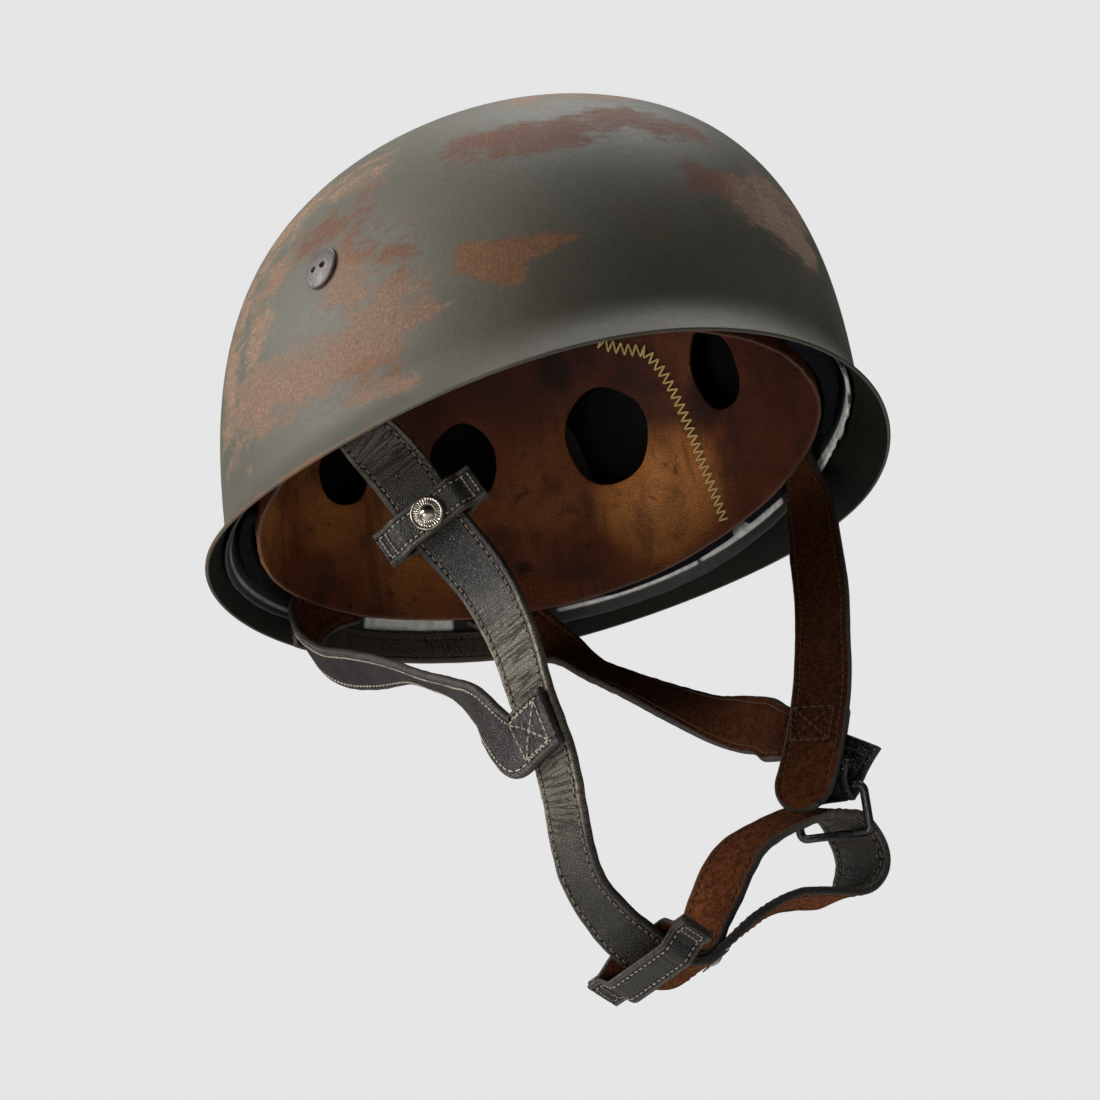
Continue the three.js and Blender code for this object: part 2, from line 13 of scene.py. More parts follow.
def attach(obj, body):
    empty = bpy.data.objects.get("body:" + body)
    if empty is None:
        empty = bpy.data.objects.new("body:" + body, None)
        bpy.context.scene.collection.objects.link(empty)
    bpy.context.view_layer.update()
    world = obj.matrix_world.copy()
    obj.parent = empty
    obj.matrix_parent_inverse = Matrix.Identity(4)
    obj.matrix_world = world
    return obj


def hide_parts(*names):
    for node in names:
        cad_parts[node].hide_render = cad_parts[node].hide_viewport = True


MM = 0.001
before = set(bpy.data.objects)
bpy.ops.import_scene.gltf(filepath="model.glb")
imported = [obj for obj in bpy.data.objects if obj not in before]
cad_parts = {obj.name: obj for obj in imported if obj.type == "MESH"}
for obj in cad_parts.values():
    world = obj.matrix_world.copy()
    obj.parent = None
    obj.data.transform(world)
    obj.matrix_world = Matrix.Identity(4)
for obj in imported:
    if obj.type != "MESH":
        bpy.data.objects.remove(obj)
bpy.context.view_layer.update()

# %% [markdown]
# ## The camera
# The helmet is seen from below its right front, looking up by about nineteen degrees, so that
# both the bowl and its lining show. A camera could be aimed with a constraint, but a matrix made
# from its right, up and back directions says the same thing exactly and needs no extra object.

# %% Camera
CAMERA_PLACE = (-725.7, -1208.6, -504.9)
CAMERA_RIGHT = (0.8731, -0.4638, -0.1501)
CAMERA_UP = (-0.0313, -0.3607, 0.9322)
CAMERA_BACK = (-0.4865, -0.8092, -0.3294)
LENS = 130.7
SENSOR = 36.0

scene = bpy.context.scene
lens = bpy.data.cameras.new("camera")
lens.lens = LENS
lens.sensor_width = SENSOR
camera = bpy.data.objects.new("camera", lens)
columns = np.array([CAMERA_RIGHT, CAMERA_UP, CAMERA_BACK, np.array(CAMERA_PLACE) * MM]).T
camera.matrix_world = Matrix(np.vstack([columns, [0, 0, 0, 1]]).tolist())
scene.collection.objects.link(camera)
scene.camera = camera
scene.view_settings.view_transform = "Standard"
print("camera distance in mm:", round(float(np.linalg.norm(CAMERA_PLACE))))

# %% [markdown]
# ## The studio
# The helmet is lit as small goods are in a studio: a large soft lamp above and to the left, a
# second one behind the crown that draws its outline, and a weak one low on the left that finds the
# flared rim and the glossy straps. The pale surroundings are seen by the camera, but light the
# object only a little, or the lining would lose its dark depth.

# %% Lamps, floor and surroundings
SURROUND = 0.79
SURROUND_LIGHT = 0.028
SURROUND_GLOSS = 0.10
FLOOR_HEIGHT = -0.75
FLOOR_HALF = 25.0
FLOOR_SEEN = 0.62
LAMPS = [
    {"name": "left", "right": -1.6, "up": 0.55, "back": 0.05, "size": 1.3, "power": 31.0},
    {"name": "crown", "right": 0.05, "up": 1.5, "back": -0.55, "size": 1.5, "power": 25.0},
    {"name": "low_left", "right": -0.95, "up": -0.75, "back": 0.95, "size": 0.9, "power": 17.0},
]


def node_of(tree, kind, **settings):
    """Add a shader node of a kind and set its plain properties."""
    node = tree.nodes.new(kind)
    for name, value in settings.items():
        setattr(node, name, value)
    return node


def feed(tree, socket, value):
    """Link a socket's output to an input, or write a plain value into it."""
    if isinstance(value, bpy.types.NodeSocket):
        tree.links.new(value, socket)
    elif socket.type == "RGBA" and len(value) == 3:
        socket.default_value = (*value, 1.0)
    else:
        socket.default_value = value


world = bpy.data.worlds.new("surroundings")
world.use_nodes = True
sky = world.node_tree
sky.nodes.clear()
sky_out = node_of(sky, "ShaderNodeOutputWorld")
seen = node_of(sky, "ShaderNodeBackground")
feed(sky, seen.inputs["Color"], (SURROUND, SURROUND, SURROUND))
lighting = node_of(sky, "ShaderNodeBackground")
ray = node_of(sky, "ShaderNodeLightPath")
dim = node_of(sky, "ShaderNodeMix", data_type="RGBA")
feed(sky, dim.inputs[0], ray.outputs["Is Glossy Ray"])
feed(sky, dim.inputs[6], (SURROUND_LIGHT, SURROUND_LIGHT, SURROUND_LIGHT))
feed(sky, dim.inputs[7], (SURROUND_GLOSS, SURROUND_GLOSS, SURROUND_GLOSS))
feed(sky, lighting.inputs["Color"], dim.outputs[2])
choose = node_of(sky, "ShaderNodeMixShader")
feed(sky, choose.inputs[0], ray.outputs["Is Camera Ray"])
feed(sky, choose.inputs[1], lighting.outputs[0])
feed(sky, choose.inputs[2], seen.outputs[0])
feed(sky, sky_out.inputs["Surface"], choose.outputs[0])
scene.world = world

right, up, back = (np.array(v) for v in (CAMERA_RIGHT, CAMERA_UP, CAMERA_BACK))
for lamp in LAMPS:
    data = bpy.data.lights.new(lamp["name"], "AREA")
    data.shape = "DISK"
    data.size = lamp["size"]
    data.energy = lamp["power"]
    place = lamp["right"] * right + lamp["up"] * up + lamp["back"] * back
    aim = place / np.linalg.norm(place)
    side = np.cross(up, aim)
    side = side / np.linalg.norm(side)
    turn = np.array([side, np.cross(aim, side), aim, place]).T
    light = bpy.data.objects.new(lamp["name"], data)
    light.matrix_world = Matrix(np.vstack([turn, [0, 0, 0, 1]]).tolist())
    scene.collection.objects.link(light)
print("lamps:", [lamp["name"] for lamp in LAMPS])

# %% [markdown]
# ## Nodes that the finishes share
# A finish is mostly arithmetic on a few noise patterns. Each step could be placed by hand in the
# shader editor; short helpers that add one node and hand back its output keep the recipes
# readable. Patterns are read in metres from the object's own coordinates, so they stay put on
# the piece, or from the flat place of a point on a strap, so that they follow the leather.

# %% Node helpers


def calc(tree, operation, first, second=0.0, third=0.0):
    """One arithmetic node; the inputs may be numbers or sockets."""
    node = node_of(tree, "ShaderNodeMath", operation=operation)
    for socket, value in zip(node.inputs, (first, second, third)):
        feed(tree, socket, value)
    return node.outputs[0]


def ease(tree, value, low, high, start=0.0, end=1.0):
    """Smooth step of a value between low and high, from start to end."""
    node = node_of(tree, "ShaderNodeMapRange", interpolation_type="SMOOTHSTEP")
    for name, entry in zip(("Value", "From Min", "From Max", "To Min", "To Max"),
                           (value, low, high, start, end)):
        feed(tree, node.inputs[name], entry)
    return node.outputs["Result"]


def grainy(tree, vector, scale, detail=4.0, roughness=0.55, distortion=0.0):
    """Fractal noise from 0 to 1; scale counts patches in a metre."""
    node = node_of(tree, "ShaderNodeTexNoise")
    for name, entry in zip(("Vector", "Scale", "Detail", "Roughness", "Distortion"),
                           (vector, scale, detail, roughness, distortion)):
        feed(tree, node.inputs[name], entry)
    return node.outputs["Fac"]


def blend_colour(tree, share, first, second):
    """Colour that goes from the first to the second as share goes from 0 to 1."""
    node = node_of(tree, "ShaderNodeMix", data_type="RGBA")
    feed(tree, node.inputs[0], share)
    feed(tree, node.inputs[6], first)
    feed(tree, node.inputs[7], second)
    return node.outputs[2]


def stretched(tree, vector, scale):
    """The vector with each axis multiplied by its own factor."""
    node = node_of(tree, "ShaderNodeMapping")
    feed(tree, node.inputs["Vector"], vector)
    node.inputs["Scale"].default_value = scale
    return node.outputs[0]


def scaled_colour(tree, colour, amount):
    """A colour multiplied by a number."""
    node = node_of(tree, "ShaderNodeVectorMath", operation="SCALE")
    feed(tree, node.inputs[0], colour)
    feed(tree, node.inputs["Scale"], amount)
    return node.outputs[0]


def sway(tree, noise, amount, value):
    """A value moved up and down by a noise: plus amount times how far the noise is from 0.5."""
    return calc(tree, "MULTIPLY_ADD", calc(tree, "SUBTRACT", noise, 0.5), amount, value)


def coordinate(tree, vector, axis):
    """One of the three numbers of a vector: 0 is x, 1 is y and 2 is z."""
    node = node_of(tree, "ShaderNodeSeparateXYZ")
    feed(tree, node.inputs[0], vector)
    return node.outputs[axis]


def new_group(name, inputs, outputs):
    """An empty shader node group with named inputs and outputs."""
    tree = bpy.data.node_groups.new(name, "ShaderNodeTree")
    for title, kind, value in inputs:
        socket = tree.interface.new_socket(name=title, in_out="INPUT", socket_type=kind)
        if value is not None:
            socket.default_value = value
    for title, kind in outputs:
        tree.interface.new_socket(name=title, in_out="OUTPUT", socket_type=kind)
    return tree, node_of(tree, "NodeGroupInput"), node_of(tree, "NodeGroupOutput")


def use_group(tree, group, **values):
    """Place a node group in a material with its own values."""
    node = node_of(tree, "ShaderNodeGroup", node_tree=group)
    for name, value in values.items():
        feed(tree, node.inputs[name], value)
    return node.outputs


print("node helpers are ready")

# %% [markdown]
# ## Three shared effects
# **Hide grain** is the pebbled face of leather: cells with soft valleys, whose size is set by
# the hide. **Stains** are soft irregular patches such as sweat and oil leave. **Crumbs** are the
# fine hard-edged specks where a coat has worn down to the high points beneath it.

# %% Shared groups
FLOAT = "NodeSocketFloat"
VECTOR = "NodeSocketVector"

hide_grain, entry, leave = new_group(
    "hide_grain", [("Place", VECTOR, None), ("Scale", FLOAT, 900.0)],
    [("Height", FLOAT), ("Valley", FLOAT)])
wander = node_of(hide_grain, "ShaderNodeTexNoise")
feed(hide_grain, wander.inputs["Vector"], entry.outputs["Place"])
feed(hide_grain, wander.inputs["Scale"], 350.0)
bent = node_of(hide_grain, "ShaderNodeVectorMath", operation="MULTIPLY_ADD")
feed(hide_grain, bent.inputs[0], wander.outputs["Color"])
bent.inputs[1].default_value = (0.0012, 0.0012, 0.0012)
feed(hide_grain, bent.inputs[2], entry.outputs["Place"])
cells = node_of(hide_grain, "ShaderNodeTexVoronoi", feature="DISTANCE_TO_EDGE")
feed(hide_grain, cells.inputs["Vector"], bent.outputs[0])
feed(hide_grain, cells.inputs["Scale"], entry.outputs["Scale"])
pebble = ease(hide_grain, cells.outputs["Distance"], 0.0, 0.32)
rough = grainy(hide_grain, entry.outputs["Place"], 2600.0, 2.0)
feed(hide_grain, leave.inputs["Height"], calc(hide_grain, "MULTIPLY_ADD", rough, 0.35, pebble))
feed(hide_grain, leave.inputs["Valley"], calc(hide_grain, "SUBTRACT", 1.0, pebble))

stains, entry, leave = new_group(
    "stains", [("Place", VECTOR, None), ("Scale", FLOAT, 30.0), ("Amount", FLOAT, 0.5)],
    [("Mask", FLOAT)])
cloud = grainy(stains, entry.outputs["Place"], entry.outputs["Scale"], 6.0, 0.6, 0.6)
edge = calc(stains, "SUBTRACT", 0.78, calc(stains, "MULTIPLY", entry.outputs["Amount"], 0.5))
feed(stains, leave.inputs["Mask"],
     ease(stains, cloud, calc(stains, "SUBTRACT", edge, 0.1), calc(stains, "ADD", edge, 0.1)))

crumbs, entry, leave = new_group(
    "crumbs", [("Place", VECTOR, None), ("Scale", FLOAT, 900.0), ("Cover", FLOAT, 0.5)],
    [("Mask", FLOAT)])
speck = grainy(crumbs, entry.outputs["Place"], entry.outputs["Scale"], 5.0, 0.75)
level = calc(crumbs, "MULTIPLY_ADD", entry.outputs["Cover"], 0.9, speck)
feed(crumbs, leave.inputs["Mask"], ease(crumbs, level, 0.66, 1.18))
print("shared groups:", [group.name for group in (hide_grain, stains, crumbs)])

# %% [markdown]
# ## A material's usual start
# Every finish ends in one Principled shader whose normal comes from a bump node. The height is
# kept in metres, so a bump of 0.0001 is a real tenth of a millimetre.

# %% Material helper


def new_finish(name):
    """A material with a Principled shader, and the object's coordinates."""
    material = bpy.data.materials.new(name)
    material.use_nodes = True
    tree = material.node_tree
    place = node_of(tree, "ShaderNodeTexCoord")
    return material, tree, tree.nodes["Principled BSDF"], place


def raise_bumps(tree, shader, height, depth, strength=1.0):
    """Bump the shader's normal by height times depth in metres."""
    bump = node_of(tree, "ShaderNodeBump")
    bump.inputs["Strength"].default_value = strength
    bump.inputs["Distance"].default_value = depth
    feed(tree, bump.inputs["Height"], height)
    feed(tree, shader.inputs["Normal"], bump.outputs["Normal"])


def attribute(tree, name):
    """A number that the mesh keeps at each of its points."""
    return node_of(tree, "ShaderNodeAttribute", attribute_name=name).outputs["Fac"]


print("material helpers are ready")

# %% [markdown]
# ## The bowl's paint
# The steel bowl has a thin satin coat of grey-green paint. It has rubbed through where hands and
# ground touch it, first in fine specks, then in whole patches of brown oxide. The mesh carries
# how far each place is worn and how warm its colour is; the shader breaks that up with noise,
# so that a patch has a granular, ragged edge at any distance.

# %% Paint finishes
OXIDES = [(0.0, (0.075, 0.050, 0.040)), (0.25, (0.175, 0.078, 0.045)), (0.5, (0.245, 0.112, 0.046)),
          (0.75, (0.275, 0.165, 0.102)), (1.0, (0.42, 0.29, 0.20))]
COAT_DARK, COAT_LIGHT = (0.070, 0.062, 0.044), (0.102, 0.095, 0.070)
COAT_LIT = (0.128, 0.124, 0.096)

paint, tree, shader, spot = new_finish("paint")
where = spot.outputs["Object"]
broad = grainy(tree, where, 14.0, 5.0, 0.55)
swept = stretched(tree, where, (1.0, 1.0, 2.4))
torn = grainy(tree, swept, 60.0, 8.0, 0.66, 0.5)
ragged = grainy(tree, swept, 200.0, 6.0, 0.7)
bare = attribute(tree, "bare")
reach = sway(tree, torn, 2.3, bare)
reach = sway(tree, ragged, 1.0, reach)
cover = ease(tree, reach, 0.1, 1.15)
speck = use_group(tree, crumbs, Place=where, Scale=1300.0, Cover=cover)["Mask"]
worn = calc(tree, "MULTIPLY", calc(tree, "MULTIPLY_ADD", speck, 0.65, 0.35),
            ease(tree, reach, 0.25, 1.05))
coat = blend_colour(tree, ease(tree, broad, 0.35, 0.68), COAT_DARK, COAT_LIGHT)
# The coat is painted lighter towards a place high on the bowl's right side: painted light where the
# lamps fall.
coat = blend_colour(tree, attribute(tree, "faded_and_lit"), coat, COAT_LIT)
dust = ease(tree, grainy(tree, where, 900.0, 4.0, 0.85), 0.3, 0.75, 0.8, 1.16)
warm = sway(tree, ragged, 0.5, attribute(tree, "warmth"))
shades = node_of(tree, "ShaderNodeValToRGB")
feed(tree, shades.inputs[0], warm)
ramp = shades.color_ramp
for place, colour in OXIDES[1:-1]:
    ramp.elements.new(place)
for element, (place, colour) in zip(ramp.elements, OXIDES):
    element.position = place
    element.color = (*colour, 1.0)
grit = ease(tree, grainy(tree, where, 1000.0, 6.0, 0.8), 0.38, 0.6, 0.45, 1.0)
oxide = blend_colour(tree, grit, (0.05, 0.036, 0.028), shades.outputs[0])
tone = blend_colour(tree, worn, coat, oxide)
feed(tree, shader.inputs["Base Color"], scaled_colour(tree, tone, dust))
feed(tree, shader.inputs["Metallic"], calc(tree, "MULTIPLY", worn, 0.10))
shader.inputs["Specular IOR Level"].default_value = 0.35
gloss = ease(tree, ragged, 0.25, 0.75, 0.50, 0.60)
feed(tree, shader.inputs["Roughness"], calc(tree, "MULTIPLY_ADD", worn, 0.16, gloss))
skin = calc(tree, "MULTIPLY_ADD", grainy(tree, where, 900.0, 3.0, 0.6), 0.5, broad)
raise_bumps(tree, shader, calc(tree, "MULTIPLY_ADD", worn, -0.25, skin), 0.00010)

# The inside is a near-black copy of the paint, far darker than the outside coat: partly its own
# darker olive and partly painted shade inside the bowl.
inner_paint, tree, shader, spot = new_finish("paint_inside_shaded")
where = spot.outputs["Object"]
faded_and_lit = grainy(tree, where, 60.0, 6.0, 0.6)
# Above the rim the inside fades to black: painted shade deep in the dome, where it shows through
# the cap's holes.
below_dome_shade = ease(tree, coordinate(tree, where, 2), 0.025, 0.05, 1.0, 0.08)
tone = blend_colour(tree, faded_and_lit, (0.005, 0.0045, 0.003), (0.013, 0.012, 0.008))
feed(tree, shader.inputs["Base Color"], blend_colour(tree, below_dome_shade, (0, 0, 0), tone))
feed(tree, shader.inputs["Roughness"], ease(tree, faded_and_lit, 0.3, 0.7, 0.6, 0.75))
shader.inputs["Specular IOR Level"].default_value = 0.12
raise_bumps(tree, shader, grainy(tree, where, 800.0, 3.0, 0.6), 0.0001)
print("finishes:", paint.name, inner_paint.name)

# %% [markdown]
# ## Turning arrays of points into a piece
# Every shape below is a grid of points: rows of rings. Blender only needs the points and the
# corners of each face. The faces of a grid follow a rule, so they are made for the whole grid at
# once. A closed skin that holds a negative volume is inside out and is turned round.

# %% Mesh helpers


def grid_faces(rows, columns, around=True, over=False):
    """Quads of a grid: point (i, j) is joined to (i, j+1), (i+1, j+1) and (i+1, j).
    With around the last column meets the first, and with over the last row meets the first."""
    i, j = np.meshgrid(np.arange(rows if over else rows - 1),
                       np.arange(columns if around else columns - 1), indexing="ij")
    below = (i + 1) % rows * columns
    across = (j + 1) % columns
    return np.stack([i * columns + j, i * columns + across, below + across, below + j],
                    -1).reshape(-1, 4)


def held_volume(points, faces):
    """Signed volume of a closed skin: the sum of corner . (corner x corner) / 6."""
    total = 0.0
    for group in faces:
        for k in range(1, group.shape[1] - 1):
            a, b, c = points[group[:, 0]], points[group[:, k]], points[group[:, k + 1]]
            total += float(np.einsum("ij,ij->", a, np.cross(b, c))) / 6
    return total


def capped(rings):
    """Points and faces of a tube of rings whose two ends close on a middle point each."""
    rows, columns = rings.shape[:2]
    points = np.vstack([rings.reshape(-1, 3), rings[0].mean(0), rings[-1].mean(0)])
    j = np.arange(columns)
    following = (j + 1) % columns
    first = np.stack([np.full(columns, rows * columns), following, j], 1)
    base = (rows - 1) * columns
    last = np.stack([np.full(columns, rows * columns + 1), base + j, base + following], 1)
    return points, [grid_faces(rows, columns), np.vstack([first, last])]


def make_piece(name, points, faces, finishes, nodes=(), finish_of_face=None, flat=None,
               numbers=None, closed=True):
    """A mesh object from points in millimetres and arrays of faces. It rides on the body,
    replaces its solid nodes, and may carry a flat place (UV) and named numbers at each point."""
    if closed and held_volume(points, faces) < 0:
        faces = [group[:, ::-1] for group in faces]
    mesh = bpy.data.meshes.new(name)
    mesh.from_pydata((points * MM).tolist(), [], sum((group.tolist() for group in faces), []))
    for finish in finishes:
        mesh.materials.append(finish)
    if finish_of_face is not None:
        mesh.polygons.foreach_set("material_index", finish_of_face.astype(np.int32))
    corners = np.empty(len(mesh.loops), np.int32)
    mesh.loops.foreach_get("vertex_index", corners)
    if flat is not None:
        layer = mesh.uv_layers.new(name="flat")
        layer.data.foreach_set("uv", (flat[corners] * MM).astype(np.float32).ravel())
    for title, values in (numbers or {}).items():
        mesh.attributes.new(title, "FLOAT", "POINT").data.foreach_set(
            "value", values.astype(np.float32))
    mesh.polygons.foreach_set("use_smooth", np.ones(len(mesh.polygons), bool))
    mesh.update()
    piece = bpy.data.objects.new(name, mesh)
    scene.collection.objects.link(piece)
    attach(piece, "root")
    if nodes:
        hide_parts(*nodes)
    return piece


def unit(vectors):
    """Vectors divided by their lengths."""
    return vectors / np.linalg.norm(vectors, axis=-1, keepdims=True)


def random_waves(seed, count, low, high):
    """Directions, counts and phases of some plane waves, for a smooth wandering number."""
    chance = np.random.default_rng(seed)
    aim = unit(chance.normal(size=(count, 3)))
    return aim * chance.uniform(low, high, (count, 1)), chance.uniform(0, 2 * np.pi, count)


def wander_at(points, seed, low, high, count=14):
    """Smooth number near -1 to 1 at each point: the mean of waves of low to high turns a
    millimetre, times the root of twice their count."""
    waves, phase = random_waves(seed, count, low, high)
    return np.sin(2 * np.pi * points @ waves.T + phase).mean(-1) * np.sqrt(2 * count) / 2


print("mesh helpers are ready")

# %% [markdown]
# ## The steel bowl
# The bowl was pressed from one sheet. Its plan is an oval that is longer in front than behind,
# drawn in towards the crown by a rounded-square law, and its edge flares outwards by nine
# millimetres over the last eighteen. A lattice could be sculpted to this; a formula of two
# numbers, the angle round and the level from rim to crown, gives the same surface without a
# single bump, which satin paint would show at once.

# %% Bowl shape
SHELL = {"half": 115.4, "front": 138.3, "rear": 119.7, "height": 145.8, "wall": 1.5,
         "square": 2.1, "crown": 2.78, "shift": 4.7, "flare": 8.9, "flare_height": 18.0}
RIM_RISE = 8.0
RIM_SADDLE = 1.3
RIM_BROW = 3.4


def plan_radius(around, form):
    """Oval radius at an angle: the sides and the length are joined by a rounded-square law."""
    reach = form["rear"] + (form["front"] - form["rear"]) * (0.5 + 0.5 * np.cos(around))
    side = np.abs(np.sin(around) / form["half"]) ** form["square"]
    length = np.abs(np.cos(around) / reach) ** form["square"]
    return (side + length) ** (-1 / form["square"])


def rim_height(around):
    """The rim rises over the brow and dips at the nape: three cosines of the angle."""
    return (RIM_RISE * np.cos(around) + RIM_SADDLE * np.cos(2 * around)
            + RIM_BROW * np.cos(3 * around))


def bowl_point(around, level):
    """Outer face of the bowl. Height goes evenly from rim to crown with the level; the oval is
    drawn in by (1 - level^crown)^(1/crown), and the flare adds the square of its share."""
    rim = rim_height(around)
    height = rim + (SHELL["height"] - rim) * level
    draw = (1 - np.clip(level, 0, 1) ** SHELL["crown"]) ** (1 / SHELL["crown"])
    flare = np.clip(1 - (height - rim) / SHELL["flare_height"], 0, 1)
    radius = plan_radius(around, SHELL) * draw + SHELL["flare"] * flare ** 2
    return np.stack([radius * np.sin(around),
                     -radius * np.cos(around) - SHELL["shift"] * level, height], -1)


def surface_normal(surface, around, level):
    """Outward direction: the sideways step crossed with the upward step, to unit length."""
    step = 1e-3
    sideways = surface(around + step, level) - surface(around - step, level)
    upward = (surface(around, np.minimum(level + step, 0.9995))
              - surface(around, np.maximum(level - step, 0)))
    return unit(np.cross(sideways, upward))


def bowl_inside(around, level, depth):
    """The bowl's outer face moved inwards by a depth."""
    return bowl_point(around, level) - surface_normal(bowl_point, around, level) * np.asarray(
        depth)[..., None]


def bowl_level(around, height):
    """Level on the bowl at a height."""
    rim = rim_height(around)
    return np.clip((height - rim) / (SHELL["height"] - rim), 0, 0.999)


print("bowl width over the rim in mm:", round(2 * float(bowl_point(np.pi / 2, 0.0)[0]), 1))

# %% [markdown]
# ## Where the paint is worn
# Each worn place is a short stroke on the bowl with a width, a strength and a warmth from dark
# rust to pale. A point is worn by the strongest stroke near it, by a bell curve of its distance.
# Its colour is the mean of the strokes near it, so two kinds run into each other softly.

# %% Worn strokes
WARMTH = {"rust": 0.25, "orange": 0.5, "tan": 0.72, "pink": 0.8, "pale": 1.0}
WORN = [
    ("orange", (-77, -104, 53), (-66, -115, 52), 5.0, 1.35),
    ("orange", (-66, -115, 52), (-54, -123, 52.5), 3.2, 1.4),
    ("orange", (-56, -121, 53), (-46, -128, 54), 1.8, 1.5),
    ("orange", (-74, -108, 48), (-66, -116, 44), 4.4, 1.3),
    ("tan", (-103, -53, 67), (-96, -77, 48), 12, 0.95),
    ("rust", (-99, -59, 78), (-91, -83, 61), 8, 0.75),
    ("tan", (-114, 7, 41), (-111, -41, 35), 13, 1.0),
    ("tan", (-112, -35, 36), (-98, -76, 34), 10, 1.15),
    ("tan", (-100, -72, 34), (-88, -91, 41), 7, 1.05),
    ("tan", (-93, -86, 38), (-88, -90, 48), 6, 0.8),
    ("rust", (-105, -61, 27), (-96, -79, 24), 5, 0.8),
    ("tan", (-105, -59, 17), (-95, -84, 14), 5, 0.85),
    ("tan", (-113, 24, 34), (-115, -9, 36), 13, 0.7),
    ("pink", (-112, 25, 45), (-107, 20, 79), 15, 0.9),
    ("pink", (-105, 20, 84), (-101, 3, 97), 15, 0.9),
    ("pink", (-97, 5, 104), (-91, -19, 112), 15, 0.85),
    ("pink", (-90, -28, 112), (-82, -60, 110), 11, 0.75),
    ("pink", (-112, 0, 61), (-110, -11, 73), 10, 0.85),
    ("tan", (-107, -1, 82), (-106, -17, 84), 10, 0.9),
    ("rust", (-101, -35, 90), (-92, -61, 93), 9, 0.9),
    ("rust", (-95, -55, 92), (-89, -66, 95), 8, 0.7),
    ("rust", (-68, -92, 103), (-53, -107, 101), 8, 1.0),
    ("rust", (-55, -105, 102), (-35, -117, 102), 9, 1.15),
    ("rust", (-38, -115, 102), (-10, -120, 108), 9, 1.1),
    ("rust", (-16, -120, 106), (13, -123, 103), 10, 0.9),
    ("pink", (-30, -95, 125), (14, -98, 125), 12, 0.8),
    ("rust", (-93, -73, 77), (-86, -86, 75), 6, 0.62),
    ("rust", (7, -134, 78), (27, -132, 73), 8, 1.0),
    ("pale", (25, -133, 73), (56, -121, 60), 8, 1.4),
    ("pink", (39, -126, 80), (60, -115, 76), 9, 1.0),
    ("rust", (-12, -136, 68), (-3, -136, 71), 5, 0.6),
    ("rust", (-27, -135, 57), (-17, -137, 59), 5, 0.65),
    ("pink", (60, 95, 70), (20, 112, 62), 12, 0.6),
    ("tan", (104, 30, 66), (92, 66, 50), 12, 0.7),
    ("rust", (40, 30, 136), (-10, 45, 137), 14, 0.55),
    ("tan", (-60, 90, 60), (-90, 66, 48), 12, 0.6),
]
RIM_WORN = 0.9
RIM_HELD = 80.0
RIM_HELD_SPREAD = 32.0
RIM_BAND = 3.0
LEAST_WEIGHT = 1e-6
# A place high on the bowl's right side where the coat is painted lighter, and its reach: painted
# light.
LIT_PLACE = (-70.0, -20.0, 100.0)
LIT_REACH = 150.0


def stroke_distance(points, start, end):
    """Distance of points from a straight stroke between two places."""
    start, end = np.array(start, float), np.array(end, float)
    along = end - start
    share = np.clip((points - start) @ along / (along @ along), 0, 1)
    return np.linalg.norm(points - start - share[..., None] * along, axis=-1)


def worn_at(points, rim_share):
    """How far each point is worn and how warm its colour is."""
    bare = np.zeros(points.shape[:-1])
    warm, weight = np.full(points.shape[:-1], LEAST_WEIGHT * WARMTH["rust"]), LEAST_WEIGHT
    for kind, start, end, width, strength in WORN:
        here = strength * np.exp(-0.5 * (stroke_distance(points, start, end) / width) ** 2)
        warm, weight = warm + WARMTH[kind] * here ** 3, weight + here ** 3
        bare = np.maximum(bare, here)
    turn = np.degrees(np.arctan2(points[..., 0], -points[..., 1]))
    held = 0.3 + 0.7 * np.exp(-((turn + RIM_HELD) / RIM_HELD_SPREAD) ** 2)
    edge = RIM_WORN * held * rim_share * (0.8 + 0.4 * wander_at(points, 5, 0.004, 0.02))
    warm = np.where(edge > bare, WARMTH["orange"], warm / weight)
    return np.maximum(bare, edge), warm


print("worn strokes:", len(WORN))

# %% Make the bowl
BOWL_COLUMNS = 360
FLARE_LEVEL = 0.13
FLARE_ROWS = 22
DOME_ROWS = 84
EDGE_ROWS = 7

start_turn = np.arcsin(FLARE_LEVEL ** (SHELL["crown"] / 2))
dome_turn = np.linspace(start_turn, np.pi / 2, DOME_ROWS)[1:-1]
levels = np.concatenate([np.linspace(0, FLARE_LEVEL, FLARE_ROWS),
                         np.sin(dome_turn) ** (2 / SHELL["crown"])])
around = np.linspace(0, 2 * np.pi, BOWL_COLUMNS, endpoint=False)
level_grid, around_grid = np.meshgrid(levels, around, indexing="ij")
outer = bowl_point(around_grid, level_grid)
normals = surface_normal(bowl_point, around_grid, level_grid)
inner = outer - SHELL["wall"] * normals

rim_turn = np.linspace(0, np.pi, EDGE_ROWS + 2)[1:-1, None, None]
rim_middle = (outer[0] + inner[0]) / 2
down = unit(np.cross(np.roll(rim_middle, -1, 0) - np.roll(rim_middle, 1, 0), normals[0]))
down = down * np.where(down[:, 2:] > 0, -1, 1)
edge_rows = rim_middle + SHELL["wall"] / 2 * (
    np.cos(rim_turn) * normals[0] + np.sin(rim_turn) * down)
rings = np.concatenate([outer[::-1], edge_rows, inner])
points, faces = capped(rings)
points[-2] = (0, -SHELL["shift"], SHELL["height"])
points[-1] = (0, -SHELL["shift"], SHELL["height"] - SHELL["wall"])
row_of_face = np.arange(len(faces[0])) // BOWL_COLUMNS
inside = np.concatenate([row_of_face >= len(levels) + EDGE_ROWS,
                         np.arange(2 * BOWL_COLUMNS) >= BOWL_COLUMNS])
rim_share = np.zeros(rings.shape[:2])
above_rim = outer[::-1, :, 2] - rim_height(around)
rim_share[:len(levels)] = np.clip(1.2 - above_rim / RIM_BAND, 0, 1)
rim_share[len(levels):len(levels) + EDGE_ROWS] = 1.0
bare, warm = worn_at(rings, rim_share)
